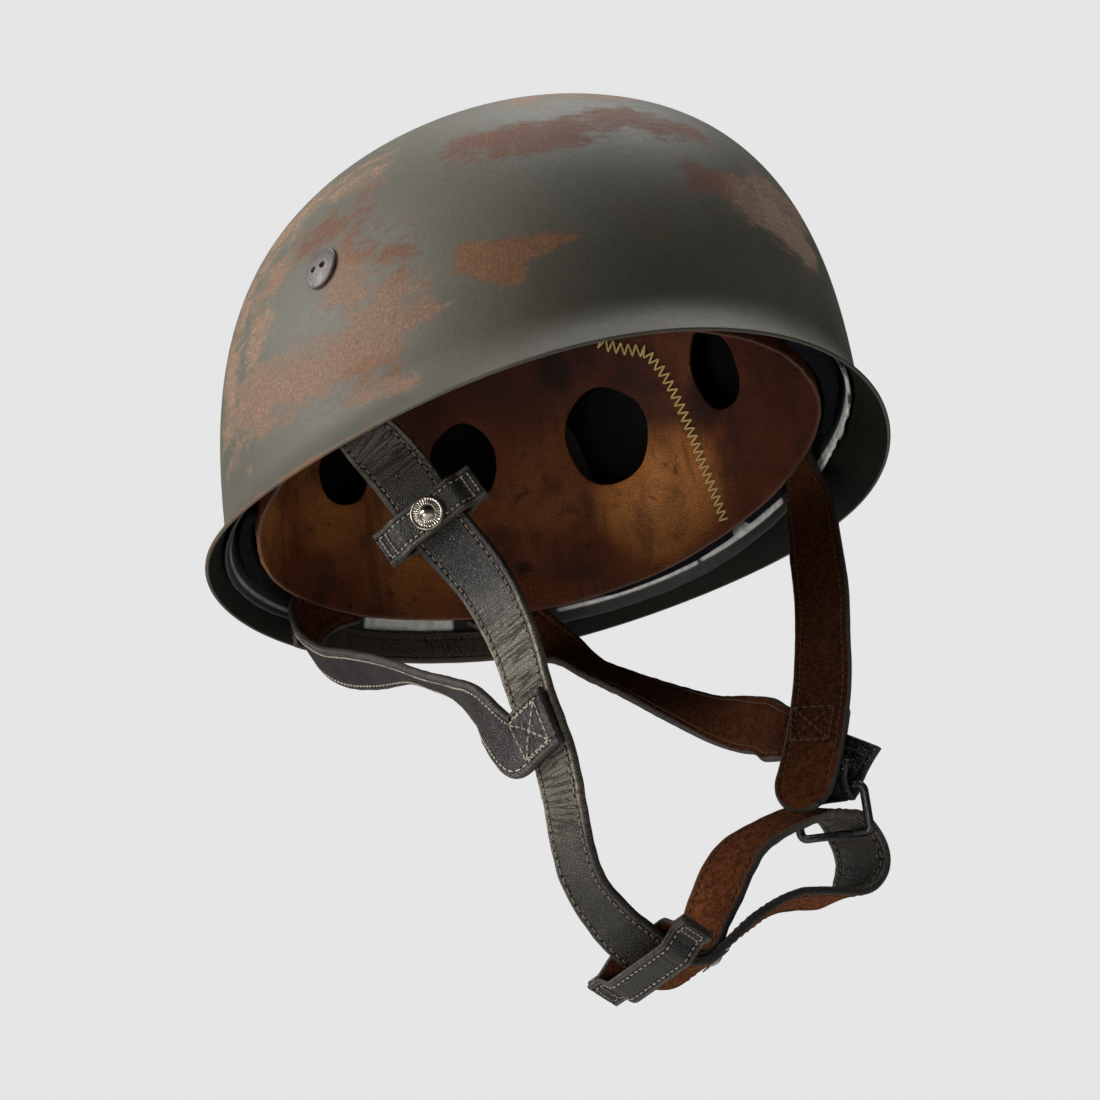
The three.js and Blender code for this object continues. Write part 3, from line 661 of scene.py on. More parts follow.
# How much the coat is painted lighter at each point: painted light on the bowl's upper right side.
faded_and_lit = np.clip(1 - np.linalg.norm(rings - np.array(LIT_PLACE), axis=-1) / LIT_REACH, 0, 1)
numbers = {"bare": np.append(bare.ravel(), [0, 0]), "warmth": np.append(warm.ravel(), [0, 0]),
           "faded_and_lit": np.append(faded_and_lit.ravel(), [0, 0])}
bowl = make_piece("helmet_bowl", points, faces, [paint, inner_paint], ["shell"],
                  inside.astype(int), numbers=numbers)
print("bowl faces:", len(bowl.data.polygons))

# %% [markdown]
# ## The liner bolts
# Four low round heads hold the liner. Each has two small holes for a pin spanner and a fine
# dark groove where it meets the paint. A drilled hole could be cut with a Boolean; here the head
# is a disc of fine rings and the two places are pushed in by a smooth step, which keeps the
# edges soft, as worn steel is.

# %% Bolt finish
steel, tree, shader, spot = new_finish("bolt")
where = spot.outputs["Object"]
pits = ease(tree, grainy(tree, where, 1500.0, 5.0, 0.7), 0.32, 0.42)
cloudy = grainy(tree, where, 260.0, 4.0, 0.6)
tone = blend_colour(tree, cloudy, (0.11, 0.094, 0.086), (0.15, 0.13, 0.12))
feed(tree, shader.inputs["Base Color"], blend_colour(tree, pits, (0.06, 0.045, 0.04), tone))
shader.inputs["Metallic"].default_value = 0.5
feed(tree, shader.inputs["Roughness"], ease(tree, cloudy, 0.3, 0.7, 0.45, 0.58))
raise_bumps(tree, shader, pits, 0.00015)
print("finish:", steel.name)

# %% Make the bolts
BOLT = {"head": 8.0, "lip": 1.2, "dome": 2.4, "shank": 2.5, "nut": 5.5, "nut_height": 2.0,
        "reach": 9.0, "pin": 1.15, "pin_away": 2.4, "pin_depth": 1.6}
BOLT_PLACES = {"front_right": (-66.7, 73.8), "front_left": (66.7, 73.8),
               "rear_right": (-146.0, 70.0), "rear_left": (146.0, 70.0)}
BOLT_COLUMNS = 96


def revolve(profile, columns):
    """Rings about the Z axis from a profile of radius and height."""
    turn = np.linspace(0, 2 * np.pi, columns, endpoint=False)
    radius, height = profile[:, :1], profile[:, 1:]
    return np.stack([radius * np.cos(turn), radius * np.sin(turn),
                     np.broadcast_to(height, (len(profile), columns))], -1)


def stand_on(points, place, aim, side=(0, 0, 1)):
    """Turn points so that Z runs along an aim and X lies square to a side, and move them."""
    aim = unit(np.array(aim, float))
    across = unit(np.cross(np.array(side, float), aim))
    return points @ np.array([across, np.cross(aim, across), aim]) + np.array(place, float)


def bolt_rings():
    """Profile from the nut inside to the domed head, with the two spanner holes pressed in."""
    b = BOLT
    top = np.linspace(b["head"] - 0.7, 0.2, 36)
    dome = b["lip"] + (b["dome"] - b["lip"]) * (1 - (top / b["head"]) ** 2)
    profile = np.vstack([
        [[0.4, -b["reach"]], [b["nut"] - 0.4, -b["reach"]], [b["nut"], 0.4 - b["reach"]],
         [b["nut"], b["nut_height"] - b["reach"]], [b["shank"], b["nut_height"] - b["reach"]],
         [b["shank"], 0.15], [b["head"] - 0.5, 0.15], [b["head"], 0.45], [b["head"], 0.9],
         [b["head"] - 0.25, b["lip"]]], np.stack([top, dome], -1)])
    rings = revolve(profile, BOLT_COLUMNS)
    for side in (-1, 1):
        away = np.hypot(rings[..., 0] - side * b["pin_away"], rings[..., 1])
        push = 1 - np.clip((away - b["pin"] + 0.25) / 0.5, 0, 1)
        rings[10:, :, 2] -= (b["pin_depth"] * push * push * (3 - 2 * push))[10:]
    return rings


def bolt_seat(name):
    """Place and outward direction of a bolt on the bowl."""
    turn, height = np.radians(BOLT_PLACES[name][0]), BOLT_PLACES[name][1]
    level = bowl_level(turn, height)
    return bowl_point(turn, level), surface_normal(bowl_point, turn, level)


points, faces = capped(bolt_rings())
for name in BOLT_PLACES:
    make_piece(f"{name}_bolt", stand_on(points, *bolt_seat(name)), faces, [steel],
               [f"bolt_{name}"])
print("bolts:", len(BOLT_PLACES), "with", len(points), "points each")

# %% [markdown]
# ## The liner hoop
# Behind the flare a light grey metal hoop runs right round the bowl and rises to a tongue at each
# bolt. Only its lower edge shows, and that edge is uneven, bent and chipped from long use. Its
# own colour shows only on a few stretches near the foot; elsewhere it is painted near black as
# shade behind the pads, so the rows of points lie closest near the foot. The hoop is one closed
# ring of sections, so it needs no caps.

# %% Make the hoop
hoop_metal, tree, shader, spot = new_finish("hoop")
where = spot.outputs["Object"]
scuffs = grainy(tree, where, 240.0, 7.0, 0.7)
grime = use_group(tree, stains, Place=where, Scale=90.0, Amount=0.22)["Mask"]
tone = blend_colour(tree, ease(tree, scuffs, 0.35, 0.65), (0.62, 0.60, 0.56), (0.92, 0.89, 0.83))
tone = blend_colour(tree, grime, tone, (0.16, 0.14, 0.12))
# Outside the lit arcs the metal is painted near black: painted shade behind the pads and up inside
# the dome.
out_of_shade = sway(tree, scuffs, 0.12, attribute(tree, "out_of_shade"))
tone = blend_colour(tree, ease(tree, out_of_shade, 0.0, 0.9), (0.012, 0.011, 0.009), tone)
feed(tree, shader.inputs["Base Color"], tone)
feed(tree, shader.inputs["Roughness"], ease(tree, scuffs, 0.3, 0.7, 0.5, 0.7))
raise_bumps(tree, shader, scuffs, 0.0001)

HOOP = {"wall": 1.5, "clearance": 1.4, "height": 22.0, "tongue": 58.0, "span": 9.0}
HOOP_COLUMNS = 720
HOOP_FOOT_BAND = 5.2
HOOP_FOOT_ROWS = 14
HOOP_UPPER_ROWS = [0.4, 0.7, 0.98, 1]
TORN = {"middle": 58.0, "span": 15.0, "depth": 2.4}
# Lit stretches, outside which the hoop is painted near black as shade: middle and half width in
# degrees, how much of the metal's colour shows, and from what height to what
LIT_ARCS = [(-180, 9.5, 1.5, -0.5, 3.4), (134, 15, 0.9, 1.7, 3.0), (105, 13, 1.0, 1.9, 4.2),
         (56, 21, 0.85, -0.5, 3.4), (-131, 21, 0.4, -0.5, 0.9)]
SHADED_SHARE = 0.03


def hoop_foot(around):
    """Height of the hoop's lower edge, which leans down towards the nape."""
    return 10.5 + 0.1 * plan_radius(around, SHELL) * np.cos(around)


def hoop_top(around):
    """Height of the hoop: even, with a flat-topped tongue at each bolt."""
    tongue = np.zeros_like(around)
    for turn, _ in BOLT_PLACES.values():
        away = np.angle(np.exp(1j * (around - np.radians(turn))))
        tongue = np.maximum(tongue, np.exp(-(away / np.radians(HOOP["span"])) ** 4))
    return HOOP["height"] + HOOP["tongue"] * tongue


def hoop_rings():
    """Sections round the bowl, up the inner side and down the outer side, the foot chipped."""
    around = np.linspace(0, 2 * np.pi, HOOP_COLUMNS, endpoint=False)
    top = hoop_top(around)[:, None]
    rises = np.hstack([np.linspace(0, HOOP_FOOT_BAND, HOOP_FOOT_ROWS) / top,
                       np.tile(HOOP_UPPER_ROWS, (HOOP_COLUMNS, 1))])
    round_off = np.zeros(rises.shape[1])
    round_off[[0, 1, -2, -1]] = 0.35, 0.1, 0.1, 0.35
    depth = np.concatenate([HOOP["clearance"] + HOOP["wall"] - round_off,
                            HOOP["clearance"] + round_off[::-1]])
    rise = np.hstack([rises, rises[:, ::-1]])
    turn, depths = around[:, None], SHELL["wall"] + depth[None]
    ring = bowl_point(around, np.full_like(around, 0.1))
    away = (np.degrees(around) - TORN["middle"]) / TORN["span"]
    chips = 0.12 * wander_at(ring, 11, 0.02, 0.12) + 0.08 * wander_at(ring, 12, 0.1, 0.3)
    chips = chips + np.exp(-away ** 4) * TORN["depth"] * (
        0.3 + 0.6 * wander_at(ring, 13, 0.01, 0.05) + 0.35 * wander_at(ring, 14, 0.06, 0.2))
    foot = hoop_foot(around)[:, None] + np.clip(chips, -0.6, 5)[:, None] * (1 - rise)
    height = foot + top * rise
    level = bowl_level(turn, height)
    bend = 0.05 * wander_at(ring, 15, 0.01, 0.03)[:, None]
    return bowl_inside(np.broadcast_to(turn, level.shape), level, depths + bend)


def shade_free_at(rings):
    """How much of the metal's own colour shows: some arcs near the foot, the rest is painted near
    black as shade.
    """
    turn = np.degrees(np.arctan2(rings[..., 0], -rings[..., 1]))
    out_of_shade = np.full(turn.shape, SHADED_SHARE)
    above = rings[..., 2] - hoop_foot(np.radians(turn))
    for middle, half, share, low, high in LIT_ARCS:
        away = np.abs(np.mod(turn - middle + 180, 360) - 180)
        arc_share = np.clip((half - away) / 0.8 + 0.5, 0, 1) * np.clip(
            np.minimum(high - above, above - low) / 0.7 + 0.5, 0, 1)
        out_of_shade = np.maximum(out_of_shade, share * arc_share)
    return out_of_shade


rings = hoop_rings()
make_piece("hoop_band", rings.reshape(-1, 3), [grid_faces(*rings.shape[:2], over=True)],
           [hoop_metal], ["liner_hoop"], numbers={"out_of_shade": shade_free_at(rings).ravel()})
print("hoop points:", rings.shape[0] * rings.shape[1])

# %% [markdown]
# ## The foam pads
# Blocks of blue-black foam rubber sit between the hoop and the leather. They are cut square but
# their edges are soft and their faces a little hollow and bulging. A cube could be subdivided
# and bent; a rounded-square section carried round the bowl follows both walls by itself.

# %% Make the pads
foam, tree, shader, spot = new_finish("foam")
where = spot.outputs["Object"]
pores = node_of(tree, "ShaderNodeTexVoronoi", feature="F1")
feed(tree, pores.inputs["Vector"], where)
feed(tree, pores.inputs["Scale"], 1400.0)
mottle = grainy(tree, where, 180.0, 5.0, 0.65)
feed(tree, shader.inputs["Base Color"], blend_colour(
    tree, ease(tree, mottle, 0.3, 0.7), (0.003, 0.0032, 0.005), (0.008, 0.0085, 0.012)))
feed(tree, shader.inputs["Roughness"], ease(tree, mottle, 0.2, 0.8, 0.85, 1.0))
shader.inputs["Specular IOR Level"].default_value = 0.06
pitted = calc(tree, "MULTIPLY_ADD", mottle, 0.8, pores.outputs["Distance"])
raise_bumps(tree, shader, pitted, 0.0003)

LINER = {"half": 104.0, "front": 115.0, "rear": 109.5, "top": 135.0, "square": 2.15,
         "crown": 2.5, "wall": 1.5}
PAD = {"above_hoop": 4.0, "height": 34.0, "slack": 1.6, "gap": 0.6, "corner": 5.0}
PAD_ARCS = {"pad_1": (-18, 18), "pad_2": (24, 66), "pad_3": (88, 103), "pad_4": (107, 140),
            "pad_5": (168, 192), "pad_6": (220, 253), "pad_7": (261, 284), "pad_8": (304, 336)}
PAD_COLUMNS = 56
PAD_ROWS_PER_DEGREE = 1.6
PAD_UNEVEN = 0.25


def liner_foot(around):
    """Height of the leather cap's lower edge."""
    return 12.5 + 0.12 * plan_radius(around, LINER) * np.cos(around)


def liner_point(around, level):
    """Outer face of the leather cap, drawn in towards its top like the bowl."""
    plan = plan_radius(around, LINER)
    foot = liner_foot(around)
    draw = (1 - np.clip(level, 0, 1) ** LINER["crown"]) ** (1 / LINER["crown"])
    return np.stack([plan * draw * np.sin(around), -plan * draw * np.cos(around),
                     foot + (LINER["top"] - foot) * level], -1)


def liner_level(around, height):
    """Level on the cap at a height."""
    foot = liner_foot(around)
    return np.clip((height - foot) / (LINER["top"] - foot), 0, 0.999)


def pad_rings(start, end):
    """Rounded-square sections along the arc, drawn in near both ends."""
    rows = int((end - start) * PAD_ROWS_PER_DEGREE)
    share = np.linspace(0, 1, rows)[:, None]
    swing = np.linspace(0, 2 * np.pi, PAD_COLUMNS, endpoint=False)[None]
    soft = (np.abs(np.cos(swing)) ** 6 + np.abs(np.sin(swing)) ** 6) ** (-1 / 6)
    close = (1 - np.abs(2 * share - 1) ** 18) ** (1 / 6)
    through = soft * np.cos(swing) * close
    height = soft * np.sin(swing) * (0.94 + 0.06 * close)
    turn = np.radians(start + (end - start) * share) * np.ones(PAD_COLUMNS)
    foot = hoop_foot(turn) + PAD["above_hoop"]
    up = foot + PAD["height"] * (0.5 + 0.5 * height)
    outside = bowl_inside(turn, bowl_level(turn, up), np.full_like(
        turn, SHELL["wall"] + HOOP["clearance"] + HOOP["wall"] + PAD["slack"]))
    level = liner_level(turn, up)
    inside = liner_point(turn, level) + PAD["gap"] * surface_normal(liner_point, turn, level)
    middle = (outside + inside) / 2
    return middle + (outside - middle) * through[..., None]


for name, (start, end) in PAD_ARCS.items():
    rings = pad_rings(start, end)
    points, faces = capped(rings)
    points = points + PAD_UNEVEN * unit(points) * wander_at(points, 21, 0.02, 0.08)[:, None]
    pad = make_piece(f"foam_{name}", points, faces, [foam], [name])
print("pads:", len(PAD_ARCS))

# %% [markdown]
# ## The leather cap
# The lining is a cap of brown leather, open at a ring of eleven oval holes. Holes could be cut
# with a Boolean, which leaves ragged little faces. Here the grid itself has a square block of
# cells at each hole. Those cells are left out, and the points around are moved by a rule that
# turns squares into circles: a point keeps its direction and its square distance becomes its
# round distance. Solidify then gives the sheet its thickness and Bevel softens the cut edges.

# %% Leather of the cap
cap_leather, tree, shader, spot = new_finish("liner_leather")
where = spot.outputs["Object"]
grain = use_group(tree, hide_grain, Place=where, Scale=860.0)
fine = use_group(tree, hide_grain, Place=stretched(tree, where, (1.0, 1.0, 2.2)), Scale=700.0)
broad = grainy(tree, where, 16.0, 5.0, 0.6, 0.4)
# The leather is painted bright golden where light falls on the cap's rear and right walls: painted
# light.
warm_light = sway(tree, broad, 0.8, attribute(tree, "light_pool"))
tone = blend_colour(tree, ease(tree, warm_light, -0.1, 0.4), (0.082, 0.017, 0.007), (0.21, 0.058, 0.017))
tone = blend_colour(tree, ease(tree, warm_light, 0.4, 1.0), tone, (0.62, 0.225, 0.052))
tone = blend_colour(tree, ease(tree, warm_light, 0.9, 1.6), tone, (0.95, 0.37, 0.10))
dark = use_group(tree, stains, Place=where, Scale=38.0, Amount=0.42)["Mask"]
spots = use_group(tree, stains, Place=where, Scale=150.0, Amount=0.27)["Mask"]
dirt = calc(tree, "MAXIMUM", calc(tree, "MULTIPLY", dark, 0.6), calc(tree, "MULTIPLY", spots, 0.8))
dirt = calc(tree, "MAXIMUM", dirt, attribute(tree, "grimy"))
drips = grainy(tree, stretched(tree, where, (1.0, 1.0, 0.12)), 95.0, 4.0, 0.6)
dirt = calc(tree, "MAXIMUM", dirt, ease(tree, drips, 0.54, 0.66, 0.0, 0.5))
tone = blend_colour(tree, dirt, tone, (0.022, 0.011, 0.009))
tone = blend_colour(tree, calc(tree, "MULTIPLY", grain["Valley"], 0.3), tone, (0.035, 0.013, 0.008))
rim_cut = calc(tree, "MULTIPLY", attribute(tree, "cut"), 0.4)
tone = blend_colour(tree, rim_cut, tone, (0.10, 0.065, 0.045))
feed(tree, shader.inputs["Base Color"], tone)
feed(tree, shader.inputs["Roughness"], ease(tree, broad, 0.3, 0.7, 0.42, 0.6))
shader.inputs["Specular IOR Level"].default_value = 0.22
raise_bumps(tree, shader, calc(tree, "MULTIPLY_ADD", fine["Height"], 0.5, grain["Height"]), 0.00018)
print("finish:", cap_leather.name)

# %% Shape of the cap
HOLES = [(-164, 56, 26, 22), (-131, 65, 32, 32), (-96, 71, 30, 32), (-65, 70, 30, 32),
         (-33, 71, 32, 32), (0, 72, 32, 32), (33, 71, 32, 32), (65, 70, 30, 32),
         (96, 71, 28, 32), (131, 65, 36, 38), (165, 64, 28, 30)]
HOLE_CELLS = 16
GAP_CELLS = 9
FOOT_CELLS = 22
TOP_CELLS = 34
WARP_REACH = 1.75


def smooth(share):
    """Smooth step from 0 to 1."""
    share = np.clip(share, 0, 1)
    return share * share * (3 - 2 * share)


def cap_columns():
    """Angles of the grid's columns, with the lower and upper edge of the band of holes there,
    and which columns have a hole on their right."""
    angles, lows, highs, open_cells = [], [], [], []
    halves = [np.degrees(h[2] / 2 / np.linalg.norm(liner_point(
        np.radians(h[0]), liner_level(np.radians(h[0]), h[1]))[:2])) for h in HOLES]
    for k, (middle, height, _, high) in enumerate(HOLES):
        following = (k + 1) % len(HOLES)
        next_middle = HOLES[following][0] + (360 if following == 0 else 0)
        edge = middle + halves[k]
        next_edge = next_middle - halves[following]
        angles += [np.linspace(middle - halves[k], edge, HOLE_CELLS, endpoint=False),
                   np.linspace(edge, next_edge, GAP_CELLS, endpoint=False)]
        blend = smooth(np.linspace(0, 1, GAP_CELLS, endpoint=False))
        for store, sign in ((lows, -0.5), (highs, 0.5)):
            here = height + sign * high
            there = HOLES[following][1] + sign * HOLES[following][3]
            store += [np.full(HOLE_CELLS, here), here + (there - here) * blend]
        open_cells += [np.ones(HOLE_CELLS, bool), np.zeros(GAP_CELLS, bool)]
    return [np.concatenate(part) for part in (angles, lows, highs, open_cells)], halves


(cap_angles, cap_lows, cap_highs, is_open), hole_halves = cap_columns()
cap_around = np.radians(cap_angles)
cap_foot = liner_foot(cap_around)
low_share, hole_share, top_share = (np.linspace(0, 1, cells, endpoint=False)[:, None]
                                    for cells in (FOOT_CELLS, HOLE_CELLS, TOP_CELLS))
low_rows = cap_foot + (cap_lows - cap_foot) * low_share
hole_rows = cap_lows + (cap_highs - cap_lows) * hole_share
first_level = liner_level(cap_around, cap_highs)
first_turn = np.arcsin(first_level ** (LINER["crown"] / 2))
top_turn = first_turn + (np.pi / 2 - first_turn) * top_share
top_rows = cap_foot + (LINER["top"] - cap_foot) * np.sin(top_turn) ** (2 / LINER["crown"])
cap_heights = np.vstack([low_rows, hole_rows, top_rows])
cap_turns = np.broadcast_to(cap_angles, cap_heights.shape).copy()
for (middle, height, _, high), half in zip(HOLES, hole_halves):
    x = (np.mod(cap_turns - middle + 180, 360) - 180) / half
    y = (cap_heights - height) / (high / 2)
    square = np.maximum(np.abs(x), np.abs(y))
    near = (square > 0.999) & (square < WARP_REACH)
    pull = np.where(near, square / np.maximum(np.hypot(x, y), 1e-9), 1)
    pull = 1 + (pull - 1) * (1 - smooth((square - 1) / (WARP_REACH - 1)))
    ragged = 1 + 0.02 * np.sin(3 * np.arctan2(y, x) + middle) + 0.015 * np.sin(5 * np.arctan2(y, x))
    pull = np.where(near, pull * (1 + (ragged - 1) * (1 - smooth((square - 1) / 0.5))), 1)
    cap_turns += x * (pull - 1) * half
    cap_heights += y * (pull - 1) * high / 2
cap_turns = np.radians(cap_turns)
cap_levels = (cap_heights - liner_foot(cap_turns)) / (LINER["top"] - liner_foot(cap_turns))
cap_points = liner_point(cap_turns, np.clip(cap_levels, 0, 0.9999))
print("cap grid:", cap_points.shape)

# %% [markdown]
# ## Stains, painted light and the sewn seam of the cap
# The leather is darkest under the brow and at the right front. Towards the nape and on the right
# wall it glows golden: painted light, where light falls into the cap. One dark patch and a small
# tear are kept as marks at their own places. The two hides of the cap meet in a seam that is drawn
# together with a zigzag of yellow thread; the seam's distance is kept at each point, so the
# leather can dip along it.

# %% Make the cap
SEAM = [(128, 106), (125, 98), (120, 94), (114, 90), (112, 82), (111, 74), (110, 59), (109, 42),
        (107, 23), (106, 13)]
# Pools of painted light inside the cap: angle and height, reach in mm, and strength.
POOLS_OF_LIGHT = [((150, 36), 40, 0.5), ((121, 36), 26, 1.6), ((178, 26), 34, 0.8), ((-130, 28), 34, 0.95),
          ((100, 88), 22, 0.45), ((-160, 40), 34, 0.7)]
GRIMY = [((140, 94), 9, 0.95), ((155, 19), 3.5, 0.9), ((-128, 34), 6, 0.5), ((176, 70), 12, 0.45),
         ((-170, 30), 4, 0.5), ((60, 60), 22, 0.5), ((103, 62), 11, 0.85), ((150, 98), 26, 0.45),
         ((-178, 88), 26, 0.4)]


def near_marks(turns, heights, marks, soft):
    """Strongest of some soft round marks, each at an angle and height with a reach in mm."""
    result = np.zeros(turns.shape)
    for (turn, height), reach, strength in marks:
        away = np.mod(np.degrees(turns) - turn + 180, 360) - 180
        distance = np.hypot(np.radians(away) * LINER["half"], heights - height) / reach
        result = np.maximum(result, strength * smooth((1 + soft - distance) / (2 * soft)))
    return result


def seam_line(steps):
    """Smooth line of the seam as angle and height, by the height's own order."""
    turns, heights = np.array(SEAM, float).T
    share = np.linspace(0, 1, len(SEAM))
    wanted = np.linspace(0, 1, steps)
    return np.stack([np.interp(wanted, share, turns), np.interp(wanted, share, heights)], -1)


line = seam_line(120)
away = np.mod(np.degrees(cap_turns)[..., None] - line[:, 0] + 180, 360) - 180
seam_distance = np.hypot(np.radians(away) * LINER["half"],
                         cap_heights[..., None] - line[:, 1]).min(-1)
normals = surface_normal(liner_point, cap_turns, np.clip(cap_levels, 0, 0.999))
dip = 0.5 * np.exp(-(seam_distance / 1.8) ** 2)
relief = 0.5 * wander_at(cap_points, 31, 0.012, 0.03) + 0.18 * wander_at(cap_points, 32, 0.05, 0.12)
fade_top = np.clip((1 - cap_levels) * 6, 0, 1)
cap_points = cap_points + normals * (dip + relief * fade_top)[..., None]
rows, columns = cap_points.shape[:2]
row_of, column_of = np.divmod(np.arange((rows - 1) * columns), columns)
in_hole = ((row_of >= FOOT_CELLS) & (row_of < FOOT_CELLS + HOLE_CELLS) & is_open[column_of])
faces = grid_faces(rows, columns)[~in_hole]
pole = rows * columns
last = (rows - 1) * columns + np.arange(columns)
fan = np.stack([last, (rows - 1) * columns + (np.arange(columns) + 1) % columns,
                np.full(columns, pole)], 1)
cut = np.zeros((rows, columns))
cut[0] = 1.0
# The golden patches are painted light on the cap's rear and right walls; the grimy ones are stains.
values = {"light_pool": near_marks(cap_turns, cap_heights, POOLS_OF_LIGHT, 0.9),
          "grimy": near_marks(cap_turns, cap_heights, GRIMY, 0.35), "cut": cut}
points = np.vstack([cap_points.reshape(-1, 3), [[0, 0, LINER["top"]]]])
values = {name: np.append(value.ravel(), 0) for name, value in values.items()}
used = np.unique(np.concatenate([faces.ravel(), fan.ravel()]))
renumber = np.zeros(len(points), int)
renumber[used] = np.arange(len(used))
cap = make_piece("liner_cap", points[used], [renumber[faces], renumber[fan]], [cap_leather],
                 ["liner"], closed=False,
                 numbers={name: value[used] for name, value in values.items()})
wall = cap.modifiers.new("thickness", "SOLIDIFY")
wall.thickness = LINER["wall"] * MM
wall.offset = -1.0
wall.use_even_offset = True
soft = cap.modifiers.new("soft_edges", "BEVEL")
soft.width = 0.0004
soft.segments = 2
soft.limit_method = "ANGLE"
soft.angle_limit = np.radians(50)
print("cap faces:", len(cap.data.polygons))

# %% [markdown]
# ## Strap leather
# The straps have two faces. The outside is smooth grey-brown grain, glossy where it is handled,
# with creases across every bend and paler worn borders. The inside is raw brown suede with a
# short nap, painted lighter at the bottom of the loop, where light falls on it: painted light. The
# grain follows the strap, so it is read from its flat place: across and along.

# %% Strap finishes
ALONG_STRETCH = 3.2


def strap_leather(name, dull, bright, border, roughness, line=8.2, start=4.0, pitch=3.1):
    """Grain leather with creases across the strap and a worn paler border. Beside each edge runs
    a sewn line at a place across; the needle's holes come at start plus whole pitches along it."""
    material, tree, shader, spot = new_finish(name)
    flat = spot.outputs["UV"]
    where = spot.outputs["Object"]
    grain = use_group(tree, hide_grain, Place=flat, Scale=1150.0)
    crease = grainy(tree, stretched(tree, flat, (0.26, ALONG_STRETCH, 1.0)), 125.0, 4.0, 0.5, 0.25)
    fold = calc(tree, "ABSOLUTE", calc(tree, "SUBTRACT", crease, 0.5))
    fold = ease(tree, fold, 0.0, 0.034)
    broad = grainy(tree, where, 55.0, 5.0, 0.6)
    bent = ease(tree, grainy(tree, where, 24.0, 2.0), 0.42, 0.6, 0.0, 0.7)
    # Where the grain is painted much lighter as light, its creases fade out.
    bent = calc(tree, "MAXIMUM", bent, ease(tree, attribute(tree, "shade_and_light"), 1.2, 2.2))
    fold = calc(tree, "MAXIMUM", fold, calc(tree, "SUBTRACT", 1.0, bent))
    tone = blend_colour(tree, ease(tree, broad, 0.3, 0.7), dull, bright)
    dark = tuple(0.3 * part for part in dull)
    tone = blend_colour(tree, calc(tree, "MULTIPLY", grain["Valley"], 0.35), tone, dark)
    # Dark lines along the creases: painted shade in their crevices.
    tone = blend_colour(tree, calc(tree, "MULTIPLY_ADD", fold, -0.7, 0.7), tone, dark)
    margin = sway(tree, broad, 1.2, attribute(tree, "margin"))
    rubbed_and_lit = ease(tree, margin, 0.4, 1.9, 0.85, 0.0)
    tone = blend_colour(tree, rubbed_and_lit, tone, border)
    sideways = calc(tree, "ABSOLUTE", coordinate(tree, flat, 0))
    across = calc(tree, "SUBTRACT", sideways, line * MM)
    shifted = calc(tree, "SUBTRACT", coordinate(tree, flat, 1), (start - pitch / 2) * MM)
    within = calc(tree, "FLOORED_MODULO", shifted, pitch * MM)
    along = calc(tree, "SUBTRACT", within, pitch / 2 * MM)
    away = calc(tree, "SQRT", calc(tree, "MULTIPLY_ADD", across, across,
                                   calc(tree, "MULTIPLY", along, along)))
    # The needle holes and the groove of the sewn line are painted darker: painted shade in these
    # hollows.
    hole = ease(tree, away, 0.25 * MM, 0.75 * MM, 1.0, 0.0)
    sunk = ease(tree, calc(tree, "ABSOLUTE", across), 0.2 * MM, 0.8 * MM, 0.55, 0.0)
    sewn = calc(tree, "MAXIMUM", hole, sunk)
    tone = blend_colour(tree, sewn, tone, tuple(0.2 * part for part in dull))
    # The grain colour is scaled by a number kept at each point: painted light and shade on the
    # front right strap.
    feed(tree, shader.inputs["Base Color"], scaled_colour(tree, tone, attribute(tree, "shade_and_light")))
    feed(tree, shader.inputs["Roughness"],
         ease(tree, broad, 0.3, 0.7, roughness - 0.07, roughness + 0.1))
    height = calc(tree, "MULTIPLY_ADD", fold, 1.8, calc(tree, "MULTIPLY", grain["Height"], 0.4))
    height = calc(tree, "MULTIPLY_ADD", hole, -2.0, height)
    raise_bumps(tree, shader, height, 0.00042)
    return material


def strap_suede(name, deep, bright):
    """Raw flesh side: a short matted nap with lighter and darker strokes."""
    material, tree, shader, spot = new_finish(name)
    where = spot.outputs["Object"]
    nap = grainy(tree, where, 1500.0, 4.0, 0.75)
    clump = grainy(tree, where, 480.0, 5.0, 0.75)
    broad = grainy(tree, where, 26.0, 3.0, 0.55)
    tone = blend_colour(tree, ease(tree, clump, 0.32, 0.68), deep, bright)
    tone = blend_colour(tree, ease(tree, broad, 0.35, 0.65, 0.35, 0.0), tone, deep)
    pressed = ease(tree, nap, 0.3, 0.6, 0.55, 0.0)
    tone = blend_colour(tree, pressed, tone, tuple(0.3 * part for part in deep))
    # Low on the chin loop the suede is painted up to 2.3 times lighter: painted light where light
    # falls on it.
    rubbed_and_lit = ease(tree, coordinate(tree, where, 2), -0.155, -0.10, 2.3, 1.0)
    feed(tree, shader.inputs["Base Color"], scaled_colour(tree, tone, rubbed_and_lit))
    feed(tree, shader.inputs["Roughness"], ease(tree, clump, 0.2, 0.8, 0.85, 1.0))
    shader.inputs["Specular IOR Level"].default_value = 0.08
    shader.inputs["Sheen Weight"].default_value = 0.02
    shader.inputs["Sheen Roughness"].default_value = 0.5
    shader.inputs["Sheen Tint"].default_value = (0.75, 0.45, 0.3, 1.0)
    raise_bumps(tree, shader, calc(tree, "MULTIPLY_ADD", nap, 0.7, clump), 0.0006)
    return material


